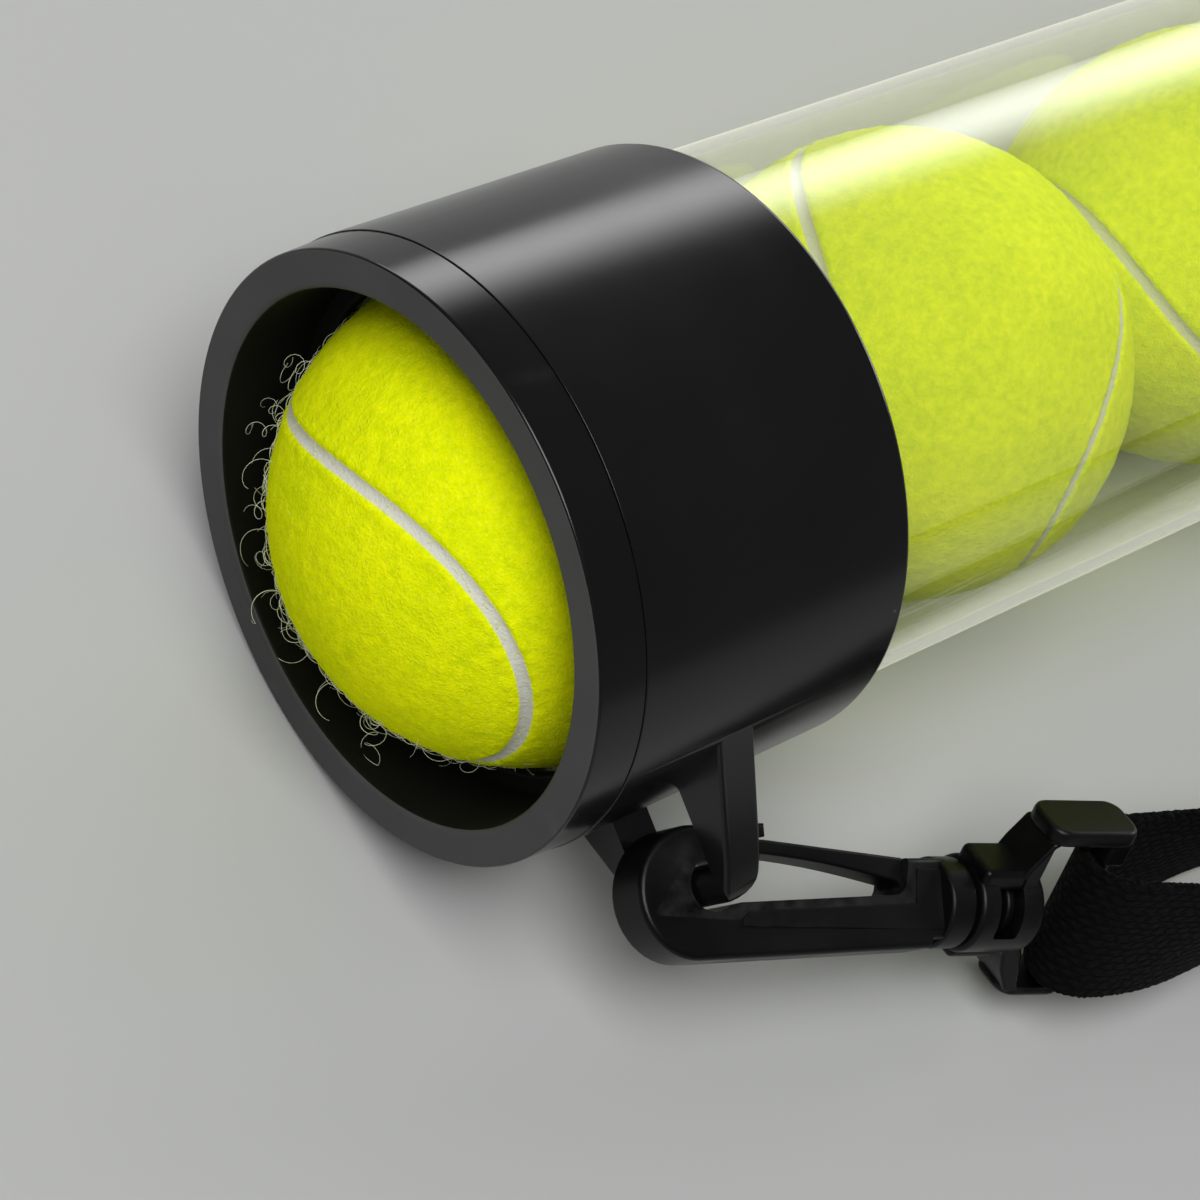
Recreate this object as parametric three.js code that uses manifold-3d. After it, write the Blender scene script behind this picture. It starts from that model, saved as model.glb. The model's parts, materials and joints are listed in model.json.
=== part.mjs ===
// A pickup tube for tennis balls: a clear tube with a black sleeve at each end, a mouth ring
// that lets balls in past a lip, an end cap, fifteen balls, and a webbing strap on snap hooks.
// Millimetres, +Z up, lying on its sleeves with the strap standing on edge beside it.
import * as THREE from "three";
import { mergeVertices } from "three/addons/utils/BufferGeometryUtils.js";
import Module from "manifold-3d";

const wasm = await Module();
wasm.setup();

// Fits and finish
const fitGap = 0.3; // between pieces that touch
const overrun = 1; // how far a cutter runs past what it cuts
const edge = 0.8; // small edge chamfers
const weld = 1e-4; // points closer than this are one
const roundSteps = 48; // facets round the tube
const smallSteps = 20; // facets round small cylinders

// Balls
const ballCount = 15;
const ballRadius = 33.1;
const ballAcross = 16; // facets round a ball
const ballDown = 10;
const ballTwoDropShare = 0.5; // ball two sits half way down from the lip to the tube floor

// Tube, sleeves, mouth ring and end cap, along the tube from the mouth face
const tubeOuterRadius = 37.5;
const tubeWall = 1.5;
const sleeveWall = 3;
const sleeveEnd = 50.8; // how far the sleeve reaches from the face
const ringBand = 7; // width of the ring's band ahead of the sleeve
const bandTaper = 0.2; // the band widens this much towards the sleeve
const faceStep = 0.6; // the ring is this much smaller than the sleeve, in radius
const mouthRadius = 35.1;
const lipRadius = 32.5;
const lipFront = 13;
const lipWidth = 1.8;
const plugEnd = 20; // how far the ring reaches into the sleeve
const ballPlay = 20; // free length behind the last ball
const capPlate = 3;

// Strap lug on each sleeve
const lugTilt = THREE.MathUtils.degToRad(17); // the lug points this far below level
const lugFront = 22.7;
const lugWidth = 5.9;
const lugRootHalf = 17.4;
const lugTipHalf = 9.4;
const slotHalf = 8.3;
const barHalfHeight = 2.4;
const barCorner = 2.1;

// Snap hook, in its own plane: u runs along the shank, v towards the tube, from the lug bar
const hookSwing = THREE.MathUtils.degToRad(21.5); // the shank leans this far off the tube
const hookHalf = 3.6; // half its thickness
const hookBevel = 0.7;
const throatRadius = 3.5;
const noseRadius = 7.3;
const noseU = -3.7;
const noseV = -0.9;
const noseTop = 7.1;
const heelRadius = 8.4;
const armLow = -9.4;
const armLowEnd = -8.4;
const armTop = -2.8;
const armTopStart = 4.2;
const armTopEnd = -1.9;
const armEnd = 29.5;
const shankStart = 31.9;
const shankEnd = 38.2;
const shankTop = 3.2;
const shankLow = -7.2;
const notchStart = 34.6;
const tipEnd = 9.3;
const tipTop = 7.8;
const tipClear = 0.26; // the tip passes the sleeve with this much room as the hook swings
const tipPocketStart = 5.9;
const tipPocketLow = 4.3;
const tipPocketTop = 6;
const axisDrop = 2; // the shank axis lies this far outside the bar
const collarRadius = 6.2;
const collarEnd = 41.1;
const stemRadius = 3.1;
const stemEnd = 51.6;
const stemHeadRadius = 4.4;
const stemHeadWidth = 3.6;

// Gate: a thin sprung tongue from the shank to the tip
const gateTipGap = 0.7;
const gateTipThick = 1.3;
const gateRootThick = 2.8;
const gateRootV = 1.3; // middle of its root
const gateHalf = 2.6;

// Swivel eye, in its own plane: s along the shank axis, w across
const eyeTurn = THREE.MathUtils.degToRad(45.6); // turned this far out of the hook's plane
const barrelStart = 41.6;
const barrelEnd = 53;
const barrelRadius = 7.3;
const padHeight = 8.3;
const padHalf = 3.6;
const padEnd = 49;
const yokeStart = 48.5;
const yokeShoulder = 51.5;
const yokeNeckHalf = 6.6;
const yokeEnd = 54; // where the strap slot starts
const armOuter = 13.4;
const armInner = 10.5;
const armTipS = 67;
const yokeHalf = 4; // half the yoke's thickness
const yokeCorner = 1.6;
const eyeBarRadius = 1.7;
const eyeBarS = 63.3;
const windowStart = 46.4;
const windowEnd = 50.4;
const windowHalf = 4.4;

// Webbing strap
const strapWidth = 20;
const strapThick = 1.4;
const bowStart = 57.3; // the webbing's bow round the eye bar starts here
const bowReach = 8; // about how far it stands off the bar's middle
const bowOuterShare = 1.06; // the outer ply's share of that reach where the bow ends
const bowInnerShare = 0.93; // and the inner ply's where the long strap starts
const bowEndShare = 1.04;
const bowPathShares = [
  [1.1, 1.05],
  [0.45, 1.03],
  [0.1, 0.83],
  [0, 0.48],
  [0.12, 0.14],
  [0.45, -0.25],
  [1.1, -0.61],
  [1.95, -0.87],
];
const bowSteps = 18;
const partRadius = 80.5; // the end bow hands over to the long strap this far from the lug bar
const partGap = 0.9;
const partSteps = 72;
const leadIn = 5.5; // the long strap's own path starts this far inside that
const crestOut = 140; // how far the strap stands out from the tube axis at its middle
const crestHalf = 105; // half its straight middle stretch
const leadShare = 0.36; // how far the strap's curve keeps its middle direction
const eyeLead = 30; // and how far it keeps the eye's
const runSteps = 22; // sections along one curved half
const twistLength = 32; // the strap turns upright over this length
const tailLength = 60; // sewn tail at the rear
const tailSteps = 10;

// Slider on the strap
const railHeight = 2.6;
const sliderHalf = 10.4;
const sliderBarRadius = 1.2;
const sliderLead = 20; // the slider rests this far along the straight middle
const sliderLoopLead = 16;
const sliderLoopSteps = 8;

// Worked out from the sizes above
const tubeInnerRadius = tubeOuterRadius - tubeWall;
const sleeveBore = tubeOuterRadius + fitGap;
const sleeveRadius = sleeveBore + sleeveWall;
const faceRadius = sleeveRadius - faceStep;
const lipBack = lipFront + lipWidth;
const clearRadius = ballRadius + fitGap;
const ballOneX = lipBack + Math.sqrt(clearRadius ** 2 - lipRadius ** 2);
const ballPitch = 2 * ballRadius + fitGap;
const ballDrop = tubeInnerRadius - ballRadius - fitGap;
const ballPlaces = [];
for (let i = 0; i < ballCount; i++) {
  const drop = i === 0 ? 0 : i === 1 ? ballTwoDropShare * ballDrop : ballDrop;
  const last = ballPlaces[i - 1];
  const x = last ? last.x + Math.sqrt(ballPitch ** 2 - (drop - last.drop) ** 2) : ballOneX;
  ballPlaces.push({ x, drop });
}
const lastBallEnd = ballPlaces[ballCount - 1].x + ballRadius;
const overallLength = lastBallEnd + ballPlay + fitGap + capPlate;
const middleX = overallLength / 2;
const tubeStart = plugEnd + fitGap;
const barCentreRadius = sleeveRadius + Math.hypot(tipEnd, tipTop) + tipClear;
const strapLead = partRadius - leadIn;
const sliderX = middleX - crestHalf + sliderLead;
const axisHeight = sleeveRadius * Math.cos(Math.PI / roundSteps); // the sleeves rest on a facet
const lugX = lugFront + lugWidth / 2;
const strapHalf = strapThick / 2;
const stripHeight = railHeight + 2 * fitGap + strapWidth / 2 - axisHeight; // from the tube axis
const plyStep = strapThick + fitGap; // between the middles of two plies that touch

const black = { color: 0x0b0b0c, roughness: 0.35, metalness: 0 };
const rubber = { color: 0x3a3a3c, roughness: 0.8, metalness: 0 };
const clear = { color: 0xe9eedc, roughness: 0.05, metalness: 0, transparent: true, opacity: 0.25 };
const felt = { color: 0xd8ec1a, roughness: 1, metalness: 0 };
const webbing = { color: 0x0d0d0e, roughness: 0.95, metalness: 0 };

// Shapes to closed solids and back
function solidOf(geometry) {
  const bare = new THREE.BufferGeometry();
  bare.setAttribute("position", geometry.getAttribute("position"));
  if (geometry.index) bare.setIndex(geometry.index);
  const merged = mergeVertices(bare, weld);
  return new wasm.Manifold(
    new wasm.Mesh({
      numProp: 3,
      vertProperties: merged.attributes.position.array,
      triVerts: new Uint32Array(merged.index.array),
    }),
  );
}

function geometryOf(solid) {
  const mesh = solid.getMesh();
  const geometry = new THREE.BufferGeometry();
  geometry.setAttribute("position", new THREE.BufferAttribute(mesh.vertProperties, 3));
  geometry.setIndex(new THREE.BufferAttribute(mesh.triVerts, 1));
  return geometry;
}

function joined(...geometries) {
  return geometries.map(solidOf).reduce((sum, next) => sum.add(next));
}

function without(solid, ...geometries) {
  return geometries.map(solidOf).reduce((rest, next) => rest.subtract(next), solid);
}

function piece(name, geometry, look) {
  const mesh = new THREE.Mesh(geometry, new THREE.MeshStandardMaterial(look));
  mesh.name = name;
  return mesh;
}

// A profile of [place along the tube, radius] turned round the tube axis, a facet underneath
function turned(profile) {
  const points = profile.map(([along, radius]) => new THREE.Vector2(radius, along));
  const geometry = new THREE.LatheGeometry(points, roundSteps, Math.PI / roundSteps);
  return geometry.rotateZ(-Math.PI / 2);
}

// A cylinder along X from one place to another, with its axis at height y
function rod(radius, from, to, y = 0) {
  const geometry = new THREE.CylinderGeometry(radius, radius, to - from, smallSteps);
  return geometry.rotateZ(-Math.PI / 2).translate((from + to) / 2, y, 0);
}

function block(low, high) {
  const size = high.map((value, i) => value - low[i]);
  const geometry = new THREE.BoxGeometry(...size);
  return geometry.translate(...low.map((value, i) => value + size[i] / 2));
}

// An outline in the XY plane made a plate of even thickness about z = 0, with bevelled edges
function plate(points, half, bevel = 0) {
  const outline = new THREE.Shape(points.map(([x, y]) => new THREE.Vector2(x, y)));
  const geometry = new THREE.ExtrudeGeometry(outline, {
    depth: 2 * (half - bevel),
    bevelEnabled: bevel > 0,
    bevelThickness: bevel,
    bevelSize: bevel,
    bevelOffset: -bevel,
    bevelSegments: 1,
  });
  return geometry.translate(0, 0, bevel - half);
}

// Points on an arc, both ends included
function arc(cx, cy, radius, fromDegrees, toDegrees, steps) {
  const points = [];
  for (let i = 0; i <= steps; i++) {
    const turn = THREE.MathUtils.degToRad(fromDegrees + ((toDegrees - fromDegrees) * i) / steps);
    points.push([cx + radius * Math.cos(turn), cy + radius * Math.sin(turn)]);
  }
  return points;
}

function roundedBox(halfX, halfY, corner) {
  return [
    ...arc(halfX - corner, halfY - corner, corner, 0, 90, 3),
    ...arc(corner - halfX, halfY - corner, corner, 90, 180, 3),
    ...arc(corner - halfX, corner - halfY, corner, 180, 270, 3),
    ...arc(halfX - corner, corner - halfY, corner, 270, 360, 3),
  ];
}

// Lug frame: x along the tube, y outwards from the tube axis
const lugOut = new THREE.Vector3(0, -Math.cos(lugTilt), -Math.sin(lugTilt));
const alongTube = new THREE.Vector3(1, 0, 0);
const lugFrame = new THREE.Matrix4().makeBasis(
  alongTube,
  lugOut,
  alongTube.clone().cross(lugOut),
);

// Hook frame: x along the shank, y towards the tube, z along the lug's bar
const shankAlong = new THREE.Vector3()
  .addScaledVector(alongTube, Math.cos(hookSwing))
  .addScaledVector(lugOut, Math.sin(hookSwing));
const shankIn = new THREE.Vector3()
  .addScaledVector(alongTube, Math.sin(hookSwing))
  .addScaledVector(lugOut, -Math.cos(hookSwing));
const hingeAxis = shankAlong.clone().cross(shankIn);
const hingePoint = new THREE.Vector3(lugX, 0, 0).addScaledVector(lugOut, barCentreRadius);
const hookFrame = new THREE.Matrix4()
  .makeBasis(shankAlong, shankIn, hingeAxis)
  .setPosition(hingePoint);

// Eye frame: x along the shank axis, y across the eye, z through its thickness
const eyeFrame = hookFrame
  .clone()
  .multiply(new THREE.Matrix4().makeRotationX(eyeTurn).setPosition(0, -axisDrop, 0));
const eyeAcross = new THREE.Vector3().setFromMatrixColumn(eyeFrame, 1);
const upright = new THREE.Vector3(0, 0, 1);

function clearTube() {
  const end = overallLength - tubeStart;
  return turned([
    [tubeStart, tubeInnerRadius],
    [tubeStart, tubeOuterRadius],
    [end, tubeOuterRadius],
    [end, tubeInnerRadius],
    [tubeStart, tubeInnerRadius],
  ]);
}

function pickupRing() {
  return turned([
    [edge, mouthRadius],
    [0, mouthRadius + edge],
    [0, faceRadius - edge],
    [edge, faceRadius],
    [ringBand, faceRadius + bandTaper],
    [ringBand, tubeOuterRadius],
    [plugEnd, tubeOuterRadius],
    [plugEnd, tubeInnerRadius],
    [lipBack, tubeInnerRadius],
    [lipBack, lipRadius],
    [lipFront, lipRadius],
    [lipFront, mouthRadius],
    [edge, mouthRadius],
  ]);
}

function endCap() {
  const out = overallLength;
  return turned([
    [out - capPlate, 0],
    [out - capPlate, mouthRadius],
    [out - plugEnd, mouthRadius],
    [out - plugEnd, tubeOuterRadius],
    [out - ringBand, tubeOuterRadius],
    [out - ringBand, faceRadius + bandTaper],
    [out - edge, faceRadius],
    [out, faceRadius - edge],
    [out, 0],
  ]);
}

// A collar with one lug: a tapered loop with a slot, and a rounded bar across its top
function sleeve() {
  const start = ringBand + fitGap;
  const shell = turned([
    [start, sleeveBore],
    [start, sleeveRadius],
    [sleeveEnd - edge, sleeveRadius],
    [sleeveEnd, sleeveRadius - edge],
    [sleeveEnd, sleeveBore],
    [start, sleeveBore],
  ]);
  const foot = sleeveBore + sleeveWall / 2;
  const top = barCentreRadius + barHalfHeight;
  const taper = (lugRootHalf - lugTipHalf) / (top - sleeveRadius);
  const footHalf = lugRootHalf + taper * (sleeveRadius - foot);
  const crown = barHalfHeight * 2;
  const crownHalf = lugTipHalf + taper * crown;
  const sides = [
    [-footHalf, foot],
    [footHalf, foot],
    [crownHalf, top - crown],
    [crownHalf - barCorner / 2, top - barCorner],
    [lugTipHalf - barCorner, top],
    [barCorner - lugTipHalf, top],
    [barCorner / 2 - crownHalf, top - barCorner],
    [-crownHalf, top - crown],
  ];
  const loop = plate(sides, lugWidth / 2).rotateY(-Math.PI / 2).translate(lugX, 0, 0);
  const low = [lugFront - overrun, sleeveRadius - fitGap, -slotHalf];
  const slot = block(low, [lugFront + lugWidth + overrun, top + overrun, slotHalf]);
  const bar = plate(roundedBox(lugWidth / 2, barHalfHeight, barCorner), slotHalf + overrun);
  bar.translate(lugX, barCentreRadius, 0);
  const lug = without(solidOf(loop), slot).add(solidOf(bar));
  return geometryOf(joined(shell, geometryOf(lug).applyMatrix4(lugFrame)));
}

// Thick arm, nose with its head through the lug, shank, collar and the stem with its head
function hookBody() {
  const body = plate(
    [
      ...arc(noseU, noseV, noseRadius, 100, 180, 5),
      ...arc(noseU - noseRadius + heelRadius, armLow + heelRadius, heelRadius, 180, 270, 6),
      [notchStart, armLowEnd],
      [notchStart + edge, shankLow],
      [shankEnd, shankLow],
      [shankEnd, shankTop],
      [shankStart, shankTop],
      [shankStart, armTopEnd + edge],
      [armEnd, armTopEnd],
      [armTopStart, armTop],
      ...arc(0, 0, throatRadius, -50, -270, 10),
      [tipPocketStart, tipPocketLow],
      [tipPocketStart, tipPocketTop],
      [tipEnd, tipPocketTop],
      [tipEnd, tipTop],
      [0, noseTop],
    ],
    hookHalf,
    hookBevel,
  );
  const collar = rod(collarRadius, shankEnd - edge, collarEnd, -axisDrop);
  const stem = rod(stemRadius, shankEnd, stemEnd - edge, -axisDrop);
  const head = rod(stemHeadRadius, stemEnd - stemHeadWidth, stemEnd, -axisDrop);
  return geometryOf(joined(body, collar, stem, head)).applyMatrix4(hookFrame);
}

function gate() {
  const tip = tipPocketStart + gateTipGap;
  const tipHigh = tipPocketTop - fitGap;
  const root = shankStart - fitGap;
  const tongue = plate(
    [
      [tip, tipHigh],
      [tip, tipHigh - gateTipThick],
      [root, gateRootV - gateRootThick / 2],
      [root, gateRootV + gateRootThick / 2],
      [tipEnd, tipHigh],
    ],
    gateHalf,
  );
  return tongue.applyMatrix4(hookFrame);
}

// Barrel on the stem with a window each side, and a yoke that carries the strap bar
function swivelEye() {
  const barrel = rod(barrelRadius, barrelStart, barrelEnd);
  const pad = block([barrelStart, 0, -padHalf], [padEnd, padHeight, padHalf]);
  const yoke = plate(
    [
      [yokeStart, -yokeNeckHalf],
      [yokeShoulder, -armOuter],
      [armTipS - yokeCorner, -armOuter],
      [armTipS, yokeCorner - armOuter],
      [armTipS, -armInner],
      [yokeEnd, -armInner],
      [yokeEnd, armInner],
      [armTipS, armInner],
      [armTipS, armOuter - yokeCorner],
      [armTipS - yokeCorner, armOuter],
      [yokeShoulder, armOuter],
      [yokeStart, yokeNeckHalf],
    ],
    yokeHalf,
    edge,
  );
  const bar = rod(eyeBarRadius, -armInner - edge, armInner + edge).rotateZ(Math.PI / 2);
  bar.translate(eyeBarS, 0, 0);
  const eye = without(
    joined(barrel, pad, yoke, bar),
    rod(stemRadius + fitGap, barrelStart - overrun, stemEnd),
    rod(stemHeadRadius + fitGap, stemEnd - stemHeadWidth - fitGap, stemEnd + fitGap),
    block([windowStart, -windowHalf, -barrelRadius - overrun], [windowEnd, windowHalf, padHeight]),
  );
  return geometryOf(eye).applyMatrix4(eyeFrame);
}

// The ball-shaped cut that parts an end bow from the long strap, so that both can turn
function partingBall(radius) {
  const ball = new THREE.SphereGeometry(radius, partSteps, partSteps / 2);
  return solidOf(ball.translate(hingePoint.x, hingePoint.y, hingePoint.z));
}

// A U of webbing round the eye bar, ending on the parting ball
function endBow() {
  const end = partRadius + overrun;
  const bend = bowPathShares.map(([s, n]) => [bowStart + s * bowReach, n * bowReach]);
  const path = new THREE.SplineCurve(
    [[end, bowOuterShare * bowReach], ...bend, [end, -bowEndShare * bowReach]].map(
      ([s, n]) => new THREE.Vector2(s, n),
    ),
  );
  const sideOf = (offset) =>
    path.getPoints(bowSteps).map((point, i) => {
      const along = path.getTangent(i / bowSteps);
      return [point.x - along.y * offset, point.y + along.x * offset];
    });
  const outline = [...sideOf(strapHalf), ...sideOf(-strapHalf).reverse()];
  const bow = plate(outline, strapWidth / 2).rotateX(Math.PI / 2).applyMatrix4(eyeFrame);
  return geometryOf(solidOf(bow).intersect(partingBall(partRadius)));
}

// A flat strip through sections, each with its middle, its across and its face direction
function strip(sections) {
  const corners = [];
  for (const { middle, across, face } of sections) {
    for (const [a, f] of [[1, 1], [1, -1], [-1, -1], [-1, 1]]) {
      const corner = middle.clone().addScaledVector(across, (a * strapWidth) / 2);
      corners.push(...corner.addScaledVector(face, f * strapHalf).toArray());
    }
  }
  const faces = [0, 2, 1, 0, 3, 2];
  for (let i = 0; i + 1 < sections.length; i++) {
    for (let k = 0; k < 4; k++) {
      const [a, b] = [4 * i + k, 4 * i + ((k + 1) % 4)];
      faces.push(a, b + 4, a + 4, a, b, b + 4);
    }
  }
  const last = 4 * (sections.length - 1);
  faces.push(last, last + 1, last + 2, last, last + 2, last + 3);
  const geometry = new THREE.BufferGeometry();
  geometry.setAttribute("position", new THREE.Float32BufferAttribute(corners, 3));
  geometry.setIndex(faces);
  return geometry;
}

// Sections of one ply from the front eye to the straight middle
function frontPly(share, inset) {
  const start = new THREE.Vector3(strapLead, 0, share * bowReach).applyMatrix4(eyeFrame);
  const end = new THREE.Vector3(middleX - crestHalf, inset - crestOut, stripHeight);
  const lead = leadShare * start.distanceTo(end);
  const curve = new THREE.CubicBezierCurve3(
    start,
    start.clone().addScaledVector(shankAlong, eyeLead),
    end.clone().addScaledVector(alongTube, -lead),
    end,
  );
  return sectionsAlong(curve, runSteps);
}

// Even steps along a curve, the strip turning from the eye's plane to upright on the way
function sectionsAlong(curve, steps) {
  const length = curve.getLength();
  const sections = [];
  for (let i = 0; i <= steps; i++) {
    const share = (i / steps) ** 1.5;
    const turn = THREE.MathUtils.smoothstep(share * length, 0, twistLength);
    const along = curve.getTangentAt(share);
    const across = eyeAcross.clone().lerp(upright, turn);
    across.addScaledVector(along, -across.dot(along)).normalize();
    sections.push({ middle: curve.getPointAt(share), across, face: across.clone().cross(along) });
  }
  return sections;
}

// The same sections seen from the rear end, in order towards the rear
function atRear(sections) {
  const flip = (v, about) => new THREE.Vector3(about - v.x, v.y, v.z);
  return sections
    .map(({ middle, across, face }) => ({
      middle: flip(middle, overallLength),
      across: flip(across, 0),
      face: flip(face, 0),
    }))
    .reverse();
}

// A section of the straight middle, inset from the outer ply towards the tube
function straightSection(x, inset) {
  return {
    middle: new THREE.Vector3(x, inset - crestOut, stripHeight),
    across: upright,
    face: upright.clone().cross(alongTube),
  };
}

function parted(geometry, front, rear) {
  const ball = partingBall(partRadius + partGap);
  let solid = solidOf(geometry);
  if (front) solid = solid.subtract(ball);
  if (rear) solid = solid.subtract(ball.mirror([1, 0, 0]).translate([overallLength, 0, 0]));
  return geometryOf(solid);
}

function longStrap() {
  const front = frontPly(bowOuterShare, 0);
  return parted(strip([...front, ...atRear(front)]), true, true);
}

function returnPly() {
  const end = sliderX - sliderLoopLead - fitGap;
  const sections = [...frontPly(-bowInnerShare, plyStep), straightSection(end, plyStep)];
  return parted(strip(sections), true, false);
}

// The sewn tail: from the rear eye's inner side in to the long strap
function rearTail() {
  const outer = frontPly(bowOuterShare, 0);
  const start = new THREE.Vector3(strapLead, 0, -bowInnerShare * bowReach);
  start.applyMatrix4(eyeFrame);
  const seat = outer.find(({ middle }) => middle.distanceTo(start) > tailLength);
  const end = seat.middle.clone().addScaledVector(seat.face, plyStep + fitGap);
  const along = seat.face.clone().cross(seat.across);
  const lead = leadShare * start.distanceTo(end);
  const curve = new THREE.CubicBezierCurve3(
    start,
    start.clone().addScaledVector(shankAlong, lead),
    end.clone().addScaledVector(along, -lead),
    end,
  );
  return parted(strip(atRear(sectionsAlong(curve, tailSteps))), false, true);
}

const wrapRadius = sliderBarRadius + fitGap + strapHalf;
const barInset = plyStep + wrapRadius;

// Slider frame: two end rails outside the strap, one middle bar on the tube side
function slider() {
  const railOut = -strapHalf - fitGap - 2 * sliderBarRadius;
  const barIn = barInset + sliderBarRadius;
  const half = strapWidth / 2 + fitGap;
  const topRail = (low) =>
    block([-sliderHalf, railOut, low], [sliderHalf, barIn, low + railHeight]);
  const width = 2 * sliderBarRadius;
  const endRail = (from) =>
    block([from, railOut, -half - edge], [from + width, railOut + width, half + edge]);
  const bar = rod(sliderBarRadius, -half - edge, half + edge).rotateY(Math.PI / 2);
  bar.translate(0, barInset, 0);
  const frame = joined(
    topRail(half),
    topRail(-half - railHeight),
    endRail(-sliderHalf),
    endRail(sliderHalf - width),
    bar,
  );
  return geometryOf(frame).translate(sliderX, -crestOut, stripHeight);
}

// The return ply's sewn end round the slider's middle bar
function sliderLoop() {
  const bend = arc(0, barInset, wrapRadius, -90, 90, sliderLoopSteps);
  const path = [[-sliderLoopLead, plyStep], ...bend, [-sliderLoopLead, 2 * plyStep + fitGap]];
  const sections = path.map(([x, inset], i) => {
    const before = path[Math.max(i - 1, 0)];
    const after = path[Math.min(i + 1, path.length - 1)];
    const along = new THREE.Vector3(after[0] - before[0], after[1] - before[1], 0).normalize();
    const middle = new THREE.Vector3(sliderX + x, inset - crestOut, stripHeight);
    return { middle, across: upright, face: upright.clone().cross(along) };
  });
  return strip(sections);
}

function ball() {
  const sphere = new THREE.SphereGeometry(ballRadius, ballAcross, ballDown);
  return sphere.rotateZ(-Math.PI / 2);
}

// One end's sleeve, hook, gate, eye and webbing bow
function strapEnd(prefix) {
  const end = new THREE.Group();
  end.add(
    piece(prefix + "_sleeve", sleeve(), black),
    piece(prefix + "_hook", hookBody(), black),
    piece(prefix + "_hook_gate", gate(), black),
    piece(prefix + "_swivel_eye", swivelEye(), black),
    piece("strap_" + prefix + "_bow", endBow(), webbing),
  );
  return end;
}

const group = new THREE.Group();
const tubeGroup = new THREE.Group();
const sliderReach = crestOut + strapHalf + fitGap + 2 * sliderBarRadius;
tubeGroup.position.set(
  -(ballOneX - ballRadius + overallLength) / 2,
  (sliderReach - axisHeight) / 2,
  axisHeight,
);
group.add(tubeGroup);

const rearEnd = strapEnd("rear");
rearEnd.scale.x = -1;
rearEnd.position.x = overallLength;
tubeGroup.add(
  piece("clear_tube", clearTube(), clear),
  piece("pickup_ring", pickupRing(), rubber),
  piece("end_cap", endCap(), rubber),
  strapEnd("front"),
  rearEnd,
  piece("strap_long", longStrap(), webbing),
  piece("strap_return", returnPly(), webbing),
  piece("strap_rear_tail", rearTail(), webbing),
  piece("strap_slider", slider(), black),
  piece("strap_slider_loop", sliderLoop(), webbing),
);
ballPlaces.forEach(({ x, drop }, i) => {
  const mesh = piece("ball_" + String(i + 1).padStart(2, "0"), ball(), felt);
  mesh.position.set(x, 0, -drop);
  tubeGroup.add(mesh);
});

export default group;
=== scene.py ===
import json
import math
import random
from types import SimpleNamespace

import bmesh
import bpy
from mathutils import Euler, Matrix, Vector, noise
from mathutils.kdtree import KDTree


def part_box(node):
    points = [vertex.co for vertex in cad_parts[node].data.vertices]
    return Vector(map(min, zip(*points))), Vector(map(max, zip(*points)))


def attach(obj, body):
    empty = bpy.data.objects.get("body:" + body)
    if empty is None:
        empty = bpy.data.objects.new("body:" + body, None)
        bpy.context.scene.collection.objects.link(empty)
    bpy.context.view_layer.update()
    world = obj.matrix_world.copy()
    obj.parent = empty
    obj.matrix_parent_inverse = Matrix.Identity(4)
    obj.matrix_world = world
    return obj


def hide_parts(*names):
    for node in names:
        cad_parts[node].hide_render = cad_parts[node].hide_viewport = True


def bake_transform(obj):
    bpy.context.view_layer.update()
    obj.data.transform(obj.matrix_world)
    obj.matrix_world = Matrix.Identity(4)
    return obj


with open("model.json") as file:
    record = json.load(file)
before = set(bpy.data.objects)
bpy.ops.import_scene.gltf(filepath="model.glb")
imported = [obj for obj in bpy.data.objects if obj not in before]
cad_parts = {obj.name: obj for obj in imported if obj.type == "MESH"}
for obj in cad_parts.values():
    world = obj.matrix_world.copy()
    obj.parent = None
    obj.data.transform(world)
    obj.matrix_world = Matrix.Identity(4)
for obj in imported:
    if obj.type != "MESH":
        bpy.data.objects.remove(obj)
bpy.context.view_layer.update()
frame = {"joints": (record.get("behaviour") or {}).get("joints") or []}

# A tennis ball pickup tube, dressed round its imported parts. Shapes are drawn in
# millimetres in the tube's, hook's or eye's own frame and placed in metres.
mm = 0.001
nearly, sliver, overrun = 0.001, 0.01, 2
joints = {joint["name"]: joint for joint in frame["joints"]}


# Frames

tubeLow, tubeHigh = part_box("clear_tube")
middleX = (tubeLow.x + tubeHigh.x) / 2
axisY = (tubeLow.y + tubeHigh.y) / 2
axisZ = (tubeLow.z + tubeHigh.z) / 2
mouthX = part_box("pickup_ring")[0].x
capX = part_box("end_cap")[1].x
overall = (capX - mouthX) / mm
tubeFrame = Matrix.Translation((mouthX, axisY, axisZ)) @ Matrix.Scale(mm, 4)
mirrored = Matrix.Translation((2 * middleX, 0, 0)) @ Matrix.Scale(-1, 4, (1, 0, 0))


def frameAt(origin, along, face):
    # Millimetres to metres: x along, z out of the plane, y across
    x, z = Vector(along).normalized(), Vector(face).normalized()
    turn = Matrix((x, z.cross(x), z)).transposed().to_4x4()
    return Matrix.Translation(origin) @ turn @ Matrix.Scale(mm, 4)


hinge = joints["front_hook_swing"]
swivel = joints["front_eye_swivel"]
hookFrame = frameAt(hinge["pos_m"], swivel["axis"], hinge["axis"])
lugFrame = frameAt((mouthX, axisY, axisZ), (1, 0, 0), hinge["axis"])
barCentre = -(lugFrame.inverted() @ Vector(hinge["pos_m"])).y
eyeLook = {"turn": 45.6, "axisDrop": 2}
eyeFrame = (
    hookFrame
    @ Matrix.Translation((0, -eyeLook["axisDrop"], 0))
    @ Matrix.Rotation(math.radians(eyeLook["turn"]), 4, "X")
)
ends = {"front": Matrix.Identity(4), "rear": mirrored}


# Shaping helpers

def named(sizes):
    # A piece's dictionary, to be read as h.half
    return SimpleNamespace(**sizes)


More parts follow.
